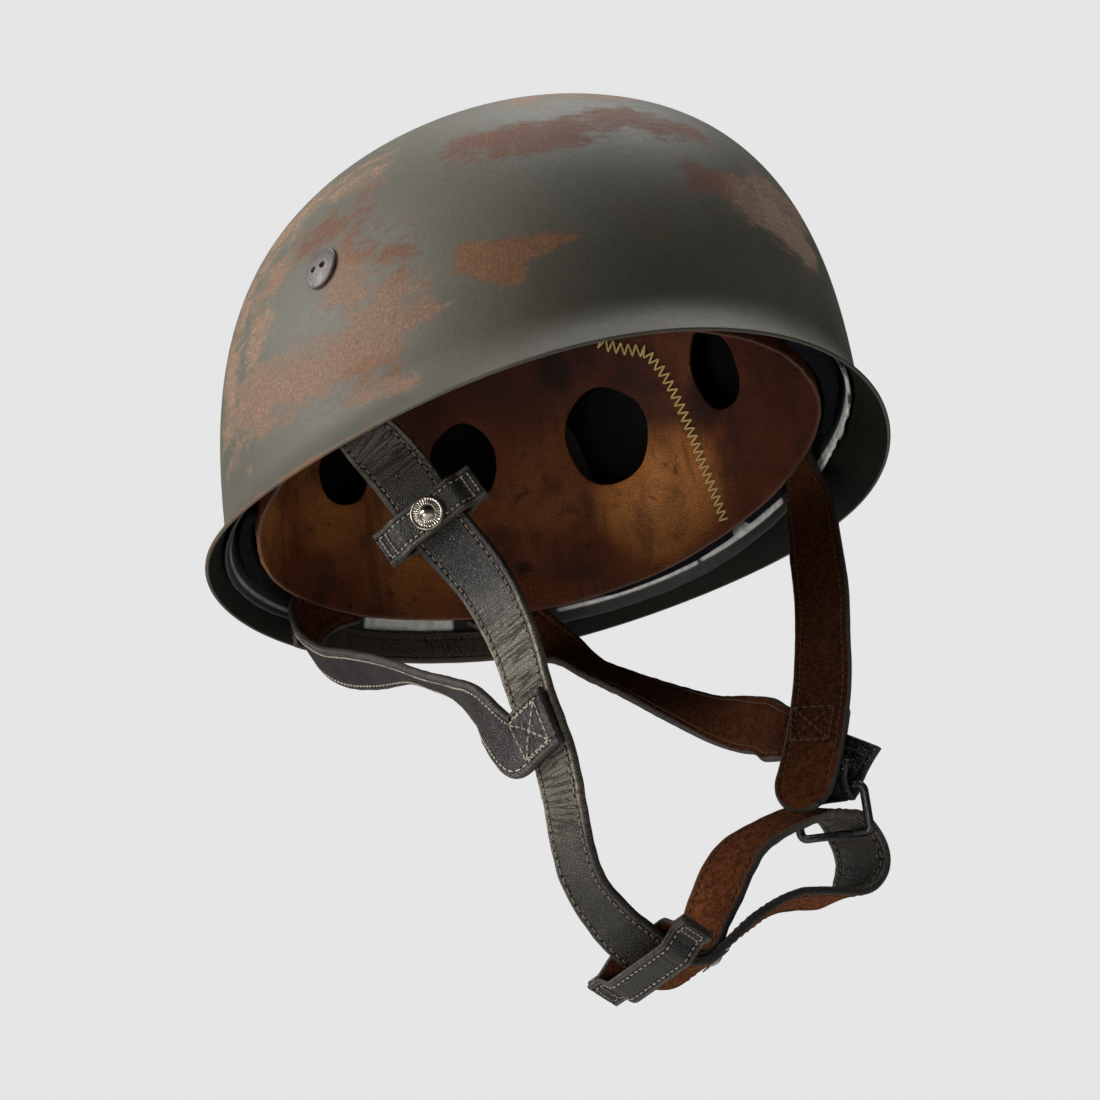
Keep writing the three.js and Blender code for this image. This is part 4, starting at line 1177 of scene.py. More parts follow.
grain_leather = strap_leather("strap_grain", (0.036, 0.030, 0.021), (0.066, 0.056, 0.042),
                              (0.17, 0.148, 0.110), 0.36)
rear_leather = strap_leather("rear_grain", (0.024, 0.019, 0.017), (0.044, 0.036, 0.031),
                             (0.13, 0.112, 0.085), 0.38, start=3.0, pitch=2.1)
tab_leather = strap_leather("keeper_grain", (0.024, 0.0205, 0.015), (0.043, 0.038, 0.029),
                            (0.20, 0.18, 0.135), 0.40, 4.2, 1.2, 2.3)
dark_leather = strap_leather("dark_grain", (0.003, 0.0025, 0.0025), (0.005, 0.0045, 0.0045),
                             (0.012, 0.011, 0.010), 0.3)
suede = strap_suede("strap_suede", (0.034, 0.009, 0.003), (0.135, 0.044, 0.014))
cut_edge = strap_leather("strap_edge", (0.016, 0.012, 0.009), (0.035, 0.026, 0.019),
                         (0.05, 0.04, 0.03), 0.55)
print("strap finishes: grain, rear grain, keeper grain, dark grain, suede, cut edge")

# %% [markdown]
# ## The straps' paths
# A strap hangs along a smooth curve and turns about it as it goes. Each row below gives a place
# of its middle line and the direction across it. The rows are joined by Catmull-Rom curves,
# the same ones as the solid model's, so both straps lie in the same place.

# %% Strap rows
FRONT_RIGHT = [
    (-100.7, -45, 27, 0.42, -0.9, 0.05), (-100.4, -45.3, 19, 0.42, -0.9, 0.08),
    (-96, -47.7, 10, 0.5, -0.86, 0.12), (-91, -50.5, 1, 0.72, -0.68, 0.2),
    (-85, -53, -10, 0.8, -0.58, 0.16), (-77, -58, -30, 0.66, -0.74, 0.2),
    (-67, -65, -52, 0.46, -0.88, 0.12), (-62, -71, -76, 0.3, -0.95, -0.08),
    (-60, -74, -98, 0.2, -0.95, -0.24), (-57, -77, -119, 0.17, -0.93, -0.33),
    (-55, -76, -135, 0.16, -0.92, -0.35), (-51, -70, -150, 0.18, -0.92, -0.33),
    (-45, -64, -162, 0.24, -0.93, -0.26), (-36, -61, -173, 0.36, -0.92, -0.1),
    (-26, -58, -181, 0.42, -0.9, 0.1), (-16, -56, -187, 0.36, -0.92, 0.14),
    (-8, -57, -188.5, 0.2, -0.97, 0.06), (-1, -59, -184, 0.2, -0.95, -0.18),
    (3, -60, -176, 0.25, -0.91, -0.34), (8, -62, -167, 0.3, -0.84, -0.45),
    (14, -64, -157, 0.3, -0.85, -0.44), (21, -65, -149.5, 0.12, -0.88, -0.47),
    (30, -66, -144.5, -0.02, -0.89, -0.45), (40, -67.5, -140.5, 0, -0.9, -0.43),
    (50.5, -69.5, -138, 0.15, -0.92, -0.36), (60.5, -68.2, -139.7, 0.3, -0.9, -0.28),
    (66.3, -67.6, -146.5, 0.4, -0.88, -0.2), (68.3, -67.5, -156, 0.44, -0.86, -0.24),
    (63, -68, -165, 0.3, -0.93, -0.2), (54, -67, -169, 0.1, -0.99, -0.05),
    (43, -66, -169, 0, -1, 0), (33, -65, -170, 0, -1, 0.04),
    (23, -64, -174.5, 0.06, -0.98, 0.16), (13, -63, -180.5, 0.1, -0.96, 0.22),
    (4, -61.5, -187, 0.12, -0.97, 0.2), (-4, -60, -191.8, 0.22, -0.96, 0.14),
    (-13, -58, -192.6, 0.36, -0.92, 0.14), (-20, -60, -189.5, 0.42, -0.9, 0.12),
]
FRONT_LEFT = [
    (105.6, -20.6, 34, -0.19, -0.98, 0), (105.4, -20.6, 22, -0.19, -0.98, 0),
    (103, -23.5, 8, 0, -0.99, 0.1), (97, -34, -8, 0.35, -0.92, 0.1),
    (89, -44, -27, 0.45, -0.89, 0), (81, -54, -49, 0.48, -0.87, -0.14),
    (73, -61, -69, 0.46, -0.86, -0.24), (65, -67, -89, 0.57, -0.77, -0.3),
    (57, -71, -106, 0.6, -0.74, -0.31), (48, -73.5, -124, 0.63, -0.7, -0.33),
    (38.5, -75, -139.5, 0.65, -0.68, -0.34),
]
REAR_RIGHT = [
    (-29, 108.8, 8, 0, 0, -1), (-43.5, 103.8, 2, 0.06, 0, -1),
    (-55, 98, -8, 0.3, 0.1, -0.95), (-59, 88, -22, 0.6, 0.2, -0.77),
    (-58, 73, -34, 0.72, 0.3, -0.62), (-56, 54, -42, 0.78, 0.28, -0.56),
    (-55, 34, -49, 0.9, 0.19, -0.38), (-56, 14, -59, 0.9, 0.19, -0.38),
    (-58, -8, -71, 0.88, 0.2, -0.42), (-61, -30, -85, 0.6, 0.25, -0.75),
    (-65, -46, -95, 0.25, 0.1, -0.96),
]
REAR_LEFT = [
    (29, 108.8, 8, 0, 0, -1), (42, 104.9, -1, -0.35, 0.1, -0.93),
    (51.5, 96, -14, -0.85, 0.2, -0.45), (56, 84, -25.5, -1, 0.03, 0.02),
    (57, 68, -36.5, -1, 0.03, -0.05), (56.5, 36, -55.5, -0.98, 0.11, -0.17),
    (55.5, 1, -76, -0.87, 0.26, -0.43), (54.3, -30, -91.5, -0.35, 0.44, -0.82),
    (54, -42, -96.5, -0.3, 0.25, -0.92),
]
BUCKLE_TAB = [
    (55.3, -72.8, -120.8, 0.6, -0.74, -0.31), (53.1, -73.7, -126.6, 0.58, -0.76, -0.3),
    (53.9, -73.4, -131, 0.45, -0.86, -0.2), (57.3, -71.2, -134.2, 0.42, -0.88, -0.17),
    (60.2, -69.8, -130.6, 0.42, -0.88, -0.17), (62.6, -72.8, -125.5, 0.42, -0.88, -0.17),
    (66.3, -75.6, -119.4, 0.42, -0.88, -0.17), (70.2, -78.2, -114.2, 0.42, -0.88, -0.17),
]
NAPE = {"start": 150, "end": 210, "step": 6, "radius": 116.8, "height": -9.5,
        "width": 13.0, "thickness": 2.4}
STRAP_WIDTH = 22.0
STRAP_THICKNESS = 3.0
print("rows of the front right strap:", len(FRONT_RIGHT))

# %% [markdown]
# ## Smooth lines through the rows
# Between two rows the curve is a cubic whose slopes come from the rows on either side. For the
# middle line the slopes also weigh the distances between rows, which stops a loop from
# overshooting where two rows are close.

# %% Curve helpers


def smooth_curve(rows, share, weighed):
    """Places and directions on a Catmull-Rom curve at shares from 0 to 1 of its rows.
    Each span is c0 + c1 w + c2 w^2 + c3 w^3 with the slopes of its two end rows."""
    padded = np.vstack([2 * rows[0] - rows[1], rows, 2 * rows[-1] - rows[-2]])
    spans = len(rows) - 1
    index = np.minimum((share * spans).astype(int), spans - 1)
    w = (share * spans - index)[:, None]
    x0, x1, x2, x3 = (padded[index + k] for k in range(4))
    if weighed:
        d0, d1, d2 = (np.sqrt(np.linalg.norm(b - a, axis=1))[:, None]
                      for a, b in ((x0, x1), (x1, x2), (x2, x3)))
        s1 = ((x1 - x0) / d0 - (x2 - x0) / (d0 + d1) + (x2 - x1) / d1) * d1
        s2 = ((x2 - x1) / d1 - (x3 - x1) / (d1 + d2) + (x3 - x2) / d2) * d1
    else:
        s1, s2 = 0.5 * (x2 - x0), 0.5 * (x3 - x1)
    c2 = -3 * x1 + 3 * x2 - 2 * s1 - s2
    c3 = 2 * x1 - 2 * x2 + s1 + s2
    return x1 + w * (s1 + w * (c2 + w * c3)), unit(s1 + w * (2 * c2 + 3 * w * c3))


def strap_frames(rows, count):
    """Frames along a strap: its place, and unit directions along, across and out of its face."""
    rows = np.array(rows, float)
    share = np.linspace(0, 1, count)
    at, along = smooth_curve(rows[:, :3], share, True)
    across = smooth_curve(rows[:, 3:], share, False)[0]
    across = unit(across - (across * along).sum(1, keepdims=True) * along)
    return {"at": at, "along": along, "across": across, "face": np.cross(along, across)}


def path_length(frames):
    """Length from the start to each frame."""
    return np.concatenate([[0], np.cumsum(np.linalg.norm(np.diff(frames["at"], axis=0), axis=1))])


def frames_at(frames, lengths):
    """Frames at given lengths along a strap, found between its own."""
    have = path_length(frames)
    picked = {name: np.stack([np.interp(lengths, have, frames[name][:, k]) for k in range(3)], -1)
              for name in ("at", "along", "across")}
    picked["across"] = unit(picked["across"])
    picked["face"] = unit(np.cross(picked["along"], picked["across"]))
    return picked


def nearest(frames, place):
    """Number of the frame nearest to a place."""
    return int(np.linalg.norm(frames["at"] - np.array(place, float), axis=1).argmin())


print("curve helpers are ready")

# %% [markdown]
# ## One strap
# A strap is a slim section carried along its frames. The section has eased corners and, on both
# faces, a shallow groove a few millimetres in from each edge, where the sewing pulls the two
# hides together. Faces on the grain side, the suede side and the cut edges get different
# finishes.

# %% Strap maker
SEW_IN = 2.8
GROOVE = 0.28
EASED = 0.9
# Painted light and shade on the front right strap's grain, lighter where light falls on it and
# darker where it turns away: heights in millimetres, a factor at each
STRAP_LIGHT_BY_HEIGHT = ((-168, -152, -138, -120, -78, -64, -52, -36, -22, -8, 3, 14),
                  (0.55, 1.1, 2.8, 2.3, 3.3, 1.7, 0.4, 0.4, 0.6, 1.6, 2.6, 1.0))


def strap_section(width, thickness):
    """Corners of the section as across and out, with which finish each side of it has."""
    half, skin = width / 2, thickness / 2
    x = np.unique(np.concatenate([
        np.linspace(-half + EASED, half - EASED, 13),
        [s * (half - SEW_IN + d) for s in (-1, 1) for d in (-1.0, -0.5, 0, 0.5, 1.0)]]).round(3))
    dip = GROOVE * np.exp(-((np.abs(x) - (half - SEW_IN)) / 0.55) ** 2)
    turn = np.linspace(-np.pi / 2, np.pi / 2, 7)[1:-1]
    side = np.stack([half - EASED + EASED * np.cos(turn), skin * np.sin(turn)], -1)
    lower = np.stack([x, -skin + dip], -1)
    upper = np.stack([x[::-1], skin - dip[::-1]], -1)
    section = np.vstack([lower, side, upper, side[::-1] * (-1, 1)])
    n, m = len(x), len(side)
    kind = np.repeat([0, 2, 1, 2], [n - 1, m + 1, n - 1, m + 1])
    return section, kind


def strap_skin(name, frames, width, thickness, finishes, nodes=(), share_of_width=None,
               ripple=0.0, seed=41, grain_up=True, shade_and_light=False):
    """A strap piece. The finishes are grain, suede and edge; grain_up puts the grain on the
    side that the frames' face points to. With the last flag set the grain gets painted light and
    shade: lighter and darker by height."""
    section, kind = strap_section(width, thickness)
    count = len(frames["at"])
    squeeze = np.ones(count) if share_of_width is None else share_of_width(np.linspace(0, 1, count))
    x = section[None, :, :1] * squeeze[:, None, None]
    out = np.broadcast_to(section[None, :, 1:], (count, len(section), 1)).copy()
    lengths = path_length(frames)
    if ripple:
        flat = np.stack([np.broadcast_to(section[:, 0], (count, len(section))) * 0.35,
                         np.broadcast_to(lengths[:, None], (count, len(section))),
                         np.zeros((count, len(section)))], -1)
        out[..., 0] += ripple * wander_at(flat, seed, 0.05, 0.2)
    rings = (frames["at"][:, None] + x * frames["across"][:, None] + out * frames["face"][:, None])
    points, faces = capped(rings)
    flat = np.stack([np.broadcast_to(x[..., 0], (count, len(section))),
                     np.broadcast_to(lengths[:, None], (count, len(section)))], -1).reshape(-1, 2)
    flat = np.vstack([flat, [[0, 0], [0, lengths[-1]]]])
    margin = width / 2 - np.abs(section[:, 0])
    margin = np.append(np.tile(margin, count), [0, 0])
    # The front right strap's grain is scaled lighter and darker by height: painted light and shade.
    worn = np.interp(points[:, 2], *STRAP_LIGHT_BY_HEIGHT) if shade_and_light else np.ones(len(points))
    sides = np.array([1, 0, 2])[kind] if grain_up else kind
    finish = np.concatenate([np.tile(sides, count - 1), np.full(2 * len(section), 2)])
    return make_piece(name, points, faces, finishes, nodes, finish, flat,
                      {"margin": margin, "shade_and_light": worn})


def even_frames(rows, coarse, spacing=1.25):
    """Frames of a strap spaced evenly along its length."""
    dense = strap_frames(rows, coarse * 12 + 1)
    length = path_length(dense)[-1]
    return frames_at(dense, np.linspace(0, length, int(length / spacing) + 1))


print("points round a strap:", len(strap_section(STRAP_WIDTH, STRAP_THICKNESS)[0]))

# %% [markdown]
# ## The harness
# Two front straps hang from the bolts at the temples, and two rear straps come from the nape,
# curl and are sewn flat on the front ones. The right front strap goes on round the bottom, up to
# the buckle and back again to its tip. The other end of the left one is cut to a tongue.

# %% Make the straps
SEAT_ROWS = (-14, -5, 3, 9.5)
GAP = 0.3
RIGHT_SEAT, LEFT_SEAT = (-60, -75, -106), (57, -71, -106)
RIGHT_LIFT, LEFT_LIFT = STRAP_THICKNESS + 2 * GAP, -STRAP_THICKNESS - 7 * GAP
STRAP_FINISHES = [grain_leather, suede, cut_edge]
REAR_FINISHES = [rear_leather, suede, cut_edge]
right_coarse = strap_frames(FRONT_RIGHT, 79)
left_coarse = strap_frames(FRONT_LEFT, 31)


def sewn_end(frames, place, lift):
    """Rows of a rear strap's end, flat on the face of a front strap."""
    k = nearest(frames, place)
    at = frames["at"][k] + lift * frames["face"][k]
    return [(*(at + x * frames["across"][k]), *frames["along"][k]) for x in SEAT_ROWS]


def tongue(share):
    """Width of the left strap, which ends in a half round."""
    return np.sqrt(1 - np.clip((share - 0.93) / 0.0702, 0, 0.99) ** 2)


def taper(share):
    """Width of the right strap, whose tip is cut in at its corners."""
    return 1 - 0.3 * smooth((share - 0.985) / 0.015)


right_frames = even_frames(FRONT_RIGHT, 78)
left_frames = even_frames(FRONT_LEFT, 30)
rear_right_frames = even_frames(REAR_RIGHT + sewn_end(right_coarse, RIGHT_SEAT, RIGHT_LIFT), 36)
rear_left_frames = even_frames(REAR_LEFT + sewn_end(left_coarse, LEFT_SEAT, LEFT_LIFT), 36)
strap_skin("front_right_leather", right_frames, STRAP_WIDTH, STRAP_THICKNESS, STRAP_FINISHES,
           ["strap_front_right"], taper, 0.16, 42, shade_and_light=True)
strap_skin("front_left_leather", left_frames, STRAP_WIDTH, STRAP_THICKNESS, STRAP_FINISHES,
           ["strap_front_left"], tongue, 0.16, 43, grain_up=False)
strap_skin("rear_right_leather", rear_right_frames, STRAP_WIDTH, STRAP_THICKNESS, REAR_FINISHES,
           ["strap_rear_right"], None, 0.14, 44, grain_up=False)
strap_skin("rear_left_leather", rear_left_frames, STRAP_WIDTH, STRAP_THICKNESS, REAR_FINISHES,
           ["strap_rear_left"], None, 0.14, 45)
nape_rows = [(NAPE["radius"] * np.sin(t), -NAPE["radius"] * np.cos(t), NAPE["height"], 0, 0, -1)
             for t in np.radians(np.arange(NAPE["start"], NAPE["end"] + 1, NAPE["step"]))]
nape_frames = even_frames(nape_rows, 16)
strap_skin("nape_leather", nape_frames, NAPE["width"], NAPE["thickness"],
           STRAP_FINISHES, ["nape_strap"], None, 0.1, 46)
print("chin strap length in mm:", round(float(path_length(right_frames)[-1])))

# %% [markdown]
# ## Stitches
# Each stitch is a short thread that rises out of the leather and dives back. Hundreds of them are
# needed, so one stitch has only a few rings of six points, and all stitches of a row are worked
# out at once from where they start and end.

# %% Thread


def thread_finish(name, plies, dull, bright, smoothest, roughest, soil=None):
    """Twisted thread of lighter and darker plies; with soil it is dirty in places."""
    material, tree, shader, spot = new_finish(name)
    where = spot.outputs["Object"]
    twist = grainy(tree, where, plies, 3.0, 0.7)
    tone = blend_colour(tree, ease(tree, twist, 0.3, 0.7), dull, bright)
    if soil is not None:
        dirty = ease(tree, grainy(tree, where, 60.0, 4.0, 0.6), 0.45, 0.7, 0.0, 0.7)
        tone = blend_colour(tree, dirty, tone, soil)
    feed(tree, shader.inputs["Base Color"], tone)
    feed(tree, shader.inputs["Roughness"], ease(tree, twist, 0.2, 0.8, smoothest, roughest))
    raise_bumps(tree, shader, twist, 0.0001)
    return material


thread = thread_finish("thread", 2200.0, (0.28, 0.24, 0.18), (0.66, 0.59, 0.48), 0.7, 0.95,
                       soil=(0.14, 0.11, 0.08))
worn_thread = thread_finish("worn_thread", 1800.0, (0.12, 0.095, 0.065), (0.32, 0.265, 0.195),
                            0.75, 0.95)
brown_thread = thread_finish("brown_thread", 1800.0, (0.06, 0.025, 0.010), (0.17, 0.085, 0.040),
                             0.8, 0.98)
seam_thread = thread_finish("seam_thread", 2200.0, (0.60, 0.42, 0.13), (0.98, 0.76, 0.32),
                            0.6, 0.9)
print("thread finishes: thread, worn thread, brown thread, seam thread")

# %% Stitch makers


def thread_rings(starts, ends, out, radius, rise):
    """Rings of many stitches: the middle runs from start to end and rises by 4 t (1 - t)."""
    t = np.array([0, 0.12, 0.5, 0.88, 1])[None, :, None, None]
    thick = radius * np.array([0.35, 0.9, 1, 0.9, 0.35])[None, :, None, None]
    along = unit(ends - starts)[:, None, None]
    side = unit(np.cross(along[:, 0, 0], out))[:, None, None]
    top = np.cross(side, along)
    angle = np.linspace(0, 2 * np.pi, 6, endpoint=False)[None, None, :, None]
    middle = (starts[:, None, None] + (ends - starts)[:, None, None] * t
              + rise * 4 * t * (1 - t) * top)
    return middle + thick * (np.cos(angle) * side + np.sin(angle) * top)


def make_stitches(name, parts, finish):
    """One piece of many stitches from (starts, ends, out, radius, rise) parts."""
    rings = np.concatenate([thread_rings(*part) for part in parts])
    count, rows, columns = rings.shape[:3]
    base = np.arange(count)[:, None, None] * rows * columns
    quads = (grid_faces(rows, columns)[None] + base).reshape(-1, 4)
    ends = np.stack([np.arange(columns)[::-1], (rows - 1) * columns + np.arange(columns)])
    caps = (ends[None] + base).reshape(-1, columns)
    return make_piece(name, rings.reshape(-1, 3), [quads, caps], [finish])


def row_stitches(frames, start, end, pitch, across, skin, radius=0.33, rise=0.28):
    """Stitches along a strap between two lengths, at a place across and out of its face."""
    first = np.arange(start, end - pitch, pitch)
    share = 0.14 * pitch
    a, b = frames_at(frames, first + share), frames_at(frames, first + pitch - share)
    sign = np.sign(skin)
    return (a["at"] + across * a["across"] + skin * a["face"],
            b["at"] + across * b["across"] + skin * b["face"], sign * a["face"], radius, rise)


print("stitch makers are ready")

# %% Make the strap stitches
SEWN_SKIN = STRAP_THICKNESS / 2 - GROOVE * 0.9
EDGE_LINE = STRAP_WIDTH / 2 - SEW_IN
# Frames, lengths left bare at both ends, stitch length, and the side that the grain is on
SEWN = {"front_right": (right_frames, 4, 4, 3.1, 1), "front_left": (left_frames, 4, 14, 3.1, -1),
        "rear_right": (rear_right_frames, 3, 1, 2.1, -1),
        "rear_left": (rear_left_frames, 3, 1, 2.1, 1)}
for name, (frames, first, left_over, pitch, grain_side) in SEWN.items():
    length = path_length(frames)[-1]
    outer = worn_thread if name.startswith("front") else thread
    for skin, finish, title in ((grain_side * SEWN_SKIN, outer, "grain"),
                                (-grain_side * SEWN_SKIN, brown_thread, "suede")):
        parts = [row_stitches(frames, first, length - left_over, pitch, side, skin, 0.34, 0.26)
                 for side in (-EDGE_LINE, EDGE_LINE)]
        make_stitches(f"{name}_{title}_stitches", parts, finish)
nape_skin = -NAPE["thickness"] / 2 + GROOVE * 0.9
parts = [row_stitches(nape_frames, 2, path_length(nape_frames)[-1] - 2, 2.6,
                      side, skin, 0.28, 0.22)
         for side in (-3.7, 3.7) for skin in (nape_skin, -nape_skin)]
make_stitches("nape_stitches", parts, brown_thread)
print("strap stitches made")

# %% [markdown]
# ## Box seams
# Where a rear strap lies on a front strap, a square of stitches with a cross in it holds the two
# together. The lines are drawn on the flat of the rear strap's end and go through both hides.

# %% Make the box seams
BOX = 7.6
BOX_FROM_END = 11.5


def box_lines(frames, middle, half, out_skin):
    """Start and end places of stitches on the sides and diagonals of a square."""
    corners = np.array([(-1, -1), (1, -1), (1, 1), (-1, 1)]) * half
    lines = [(corners[k], corners[(k + 1) % 4]) for k in range(4)]
    lines += [(corners[0], corners[2]), (corners[1], corners[3])]
    starts, ends, outs = [], [], []
    for a, b in lines:
        count = max(2, int(np.linalg.norm(b - a) / 2.8))
        share = np.arange(count) / count
        for shift, store in ((0.12, starts), (0.88, ends)):
            spot = a + (b - a) * (share + shift / count)[:, None]
            picked = frames_at(frames, middle + spot[:, 1])
            store.append(picked["at"] + spot[:, :1] * picked["across"] + out_skin * picked["face"])
            if store is starts:
                outs.append(np.sign(out_skin) * picked["face"])
    return np.concatenate(starts), np.concatenate(ends), np.concatenate(outs), 0.38, 0.3


right_seat = path_length(rear_right_frames)[-1] - BOX_FROM_END
left_seat = path_length(rear_left_frames)[-1] - BOX_FROM_END
flat_skin = STRAP_THICKNESS / 2 - 0.05
right_skins = (-flat_skin, 3 * flat_skin + 2 * GAP + 0.1)
left_skins = (flat_skin, -3 * flat_skin - 7 * GAP - 0.1)
make_stitches("right_box_seam", [box_lines(rear_right_frames, right_seat, BOX, skin)
                                 for skin in right_skins], thread)
make_stitches("left_box_seam", [box_lines(rear_left_frames, left_seat, BOX, skin)
                                for skin in left_skins], brown_thread)
print("box seams made")

# %% [markdown]
# ## The zigzag seam of the cap
# The yellow thread crosses the seam to and fro and lies on the inside of the cap.

# %% Make the zigzag
ZIG_STEP = 1.75
ZIG_HALF = 2.7


def cap_inside(turns, heights, depth):
    """Place on the inner face of the cap and the direction into its hollow."""
    level = liner_level(turns, heights)
    normal = surface_normal(liner_point, turns, level)
    return liner_point(turns, level) - depth * normal, -normal


line = seam_line(600)
ride_on, _ = cap_inside(np.radians(line[:, 0]), line[:, 1], 0)
measured = np.concatenate([[0], np.cumsum(np.linalg.norm(np.diff(ride_on, axis=0), axis=1))])
marks = np.arange(0, measured[-1], ZIG_STEP)
turns = np.radians(np.interp(marks, measured, line[:, 0]))
heights = np.interp(marks, measured, line[:, 1])
places, inward = cap_inside(turns, heights, LINER["wall"] + 0.25)
along = unit(np.gradient(places, axis=0))
sideways = np.cross(inward, along)
swing = np.where(np.arange(len(marks)) % 2, ZIG_HALF, -ZIG_HALF)[:, None]
corners = places + swing * sideways
make_stitches("cap_zigzag", [(corners[:-1], corners[1:], inward[:-1], 0.42, 0.25)], seam_thread)
print("zigzag stitches:", len(corners) - 1)

# %% [markdown]
# ## The keepers
# Two leather loops hold the straps. Each is two strips that bow apart over the straps and are
# sewn together at their ears. A bent plane could be pushed into this; the same strap maker
# carries a strip along a path that rises from the ear to the slot and falls again.

# %% Make the keepers
KEEPER = {"leather": 1.7, "width": 14.0, "ear": 5.4, "upper_length": 42.0, "upper_slot": 5.0,
          "lower_length": 50.0, "lower_slot": 10.8, "lower_lift": 2.6}
UPPER_KEEPER_PLACE, LOWER_KEEPER_PLACE = (-79, -58, -27), (-20, -57, -185)


def keeper_frames(seat, lift, length, slot_width, slot_height, side):
    """Frames of one strip of a keeper: it lies at the ears and bows out over the slot."""
    x = np.linspace(-length / 2, length / 2, 90)
    flat, high = KEEPER["leather"] / 2, slot_height / 2 + KEEPER["leather"] / 2
    rise = smooth((length / 2 - KEEPER["ear"] * 0.8 - np.abs(x))
                  / (length / 2 - KEEPER["ear"] * 0.8 - slot_width / 2 + 0.5))
    out = side * (flat + (high - flat) * rise)
    at = (seat["at"] + x[:, None] * seat["across"] + (lift + out)[:, None] * seat["face"])
    along = unit(np.gradient(at, axis=0))
    across = np.broadcast_to(seat["along"], at.shape)
    return {"at": at, "along": along, "across": across, "face": np.cross(along, across)}


def frame_near(frames, place):
    """The frame nearest to a place."""
    k = nearest(frames, place)
    return {name: values[k] for name, values in frames.items()}


def make_keeper(name, seat, lift, length, slot_width, slot_height, node):
    """Both strips and their stitches, and the node they stand for."""
    skin = KEEPER["leather"] / 2
    outer_skin = skin - GROOVE * 0.9
    stitches = []
    for side, title in ((1, "outer"), (-1, "inner")):
        frames = keeper_frames(seat, lift, length, slot_width, slot_height, side)
        facing = float((frames["face"][0] * seat["face"]).sum()) * side
        strap_skin(f"{name}_{title}", frames, KEEPER["width"], KEEPER["leather"],
                   [tab_leather, suede, cut_edge], [node] if side == 1 else (), None, 0.08, 50,
                   grain_up=facing > 0)
        total = path_length(frames)[-1]
        sign = 1 if facing > 0 else -1
        line = KEEPER["width"] / 2 - SEW_IN
        for across in (-line, line):
            stitches.append(row_stitches(frames, 1.2, total - 1.2, 2.3, across,
                                         sign * outer_skin, 0.28, 0.2))
        for place in (1.6, 4.2, total - 4.2, total - 1.6):
            marks = np.linspace(-line, line, 6)
            spot = frames_at(frames, np.full(5, place))
            skin_out = sign * skin * spot["face"]
            stitches.append((spot["at"] + marks[:-1, None] * spot["across"] + skin_out,
                             spot["at"] + (marks[1:, None] - 0.4) * spot["across"] + skin_out,
                             sign * spot["face"], 0.28, 0.2))
    make_stitches(f"{name}_stitches", stitches, thread)


upper_seat = frame_near(right_coarse, UPPER_KEEPER_PLACE)
lower_seat = frame_near(right_coarse, LOWER_KEEPER_PLACE)
make_keeper("upper_loop", upper_seat, 0.0, KEEPER["upper_length"], STRAP_WIDTH + 6 * GAP,
            KEEPER["upper_slot"], "keeper_upper")
make_keeper("lower_loop", lower_seat, KEEPER["lower_lift"], KEEPER["lower_length"],
            STRAP_WIDTH + 15 * GAP, KEEPER["lower_slot"], "keeper_lower")
print("keepers made")

# %% [markdown]
# ## The press studs
# The stud on the upper keeper has a rolled edge, a ring of fine radial ridges and a smooth
# domed middle. The ridges are a cosine of the angle, faded in and out with the radius. The lower
# stud is a plain low cap.

# %% Make the studs
silver, tree, shader, spot = new_finish("stud")
where = spot.outputs["Object"]
tarnish = ease(tree, grainy(tree, where, 700.0, 6.0, 0.7), 0.4, 0.62)
tone = blend_colour(tree, tarnish, (0.58, 0.53, 0.46), (0.26, 0.20, 0.15))
feed(tree, shader.inputs["Base Color"], tone)
shader.inputs["Metallic"].default_value = 1.0
feed(tree, shader.inputs["Roughness"], ease(tree, tarnish, 0.0, 1.0, 0.16, 0.36))
raise_bumps(tree, shader, grainy(tree, where, 1600.0, 3.0, 0.6), 0.00005)

STUD_RADIUS = 6.2
STUD_COLUMNS = 180
RIDGES = 30
LOWER_STUD_PLACE = (2, -61, -188)
TIP_STARTS_AT_FRAME = 62


def stud_rings(height, ridged):
    """A low cap: rolled edge, flat ring with ridges, and a dome in the middle."""
    r = STUD_RADIUS
    profile = np.array([
        (0.02, 0), (r - 0.25, 0), (r, 0.25), (r, 0.6), (r - 0.2, 0.95), (r - 0.6, 1.1),
        (r - 0.95, 1.0), (r - 1.15, 0.85), (r - 1.5, 0.9), (r - 2.1, 1.02), (r - 2.7, 1.15),
        (r - 3.1, 1.2), (r - 3.3, 1.05), (r - 3.5, 1.3), (r - 3.8, 1.75), (r - 4.3, 2.3),
        (r - 5.0, 2.75), (r - 5.7, 3.0), (0.02, 3.1)])
    profile[:, 1] = profile[:, 1] * height / 3.1
    rings = revolve(profile, STUD_COLUMNS)
    if ridged:
        angle = np.linspace(0, 2 * np.pi, STUD_COLUMNS, endpoint=False)
        away = np.abs(profile[:, 0] - (r - 2.0))
        rings[..., 2] += 0.22 * np.clip(1.2 - away, 0, 1)[:, None] * np.cos(RIDGES * angle)
    return rings


points, faces = capped(stud_rings(3.1, True))
stud_lift = KEEPER["upper_slot"] / 2 + KEEPER["leather"] + 0.15
stud_place = upper_seat["at"] + stud_lift * upper_seat["face"]
make_piece("upper_stud", stand_on(points, stud_place, upper_seat["face"]), faces, [silver],
           ["press_stud_upper"])
tail = {name: values[TIP_STARTS_AT_FRAME:] for name, values in right_coarse.items()}
tail_seat = frame_near(tail, LOWER_STUD_PLACE)
points, faces = capped(stud_rings(1.5, False))
place = tail_seat["at"] - (STRAP_THICKNESS / 2 + GAP) * tail_seat["face"]
make_piece("lower_stud", stand_on(points, place, -tail_seat["face"]), faces, [silver],
           ["press_stud_lower"])
print("studs made")

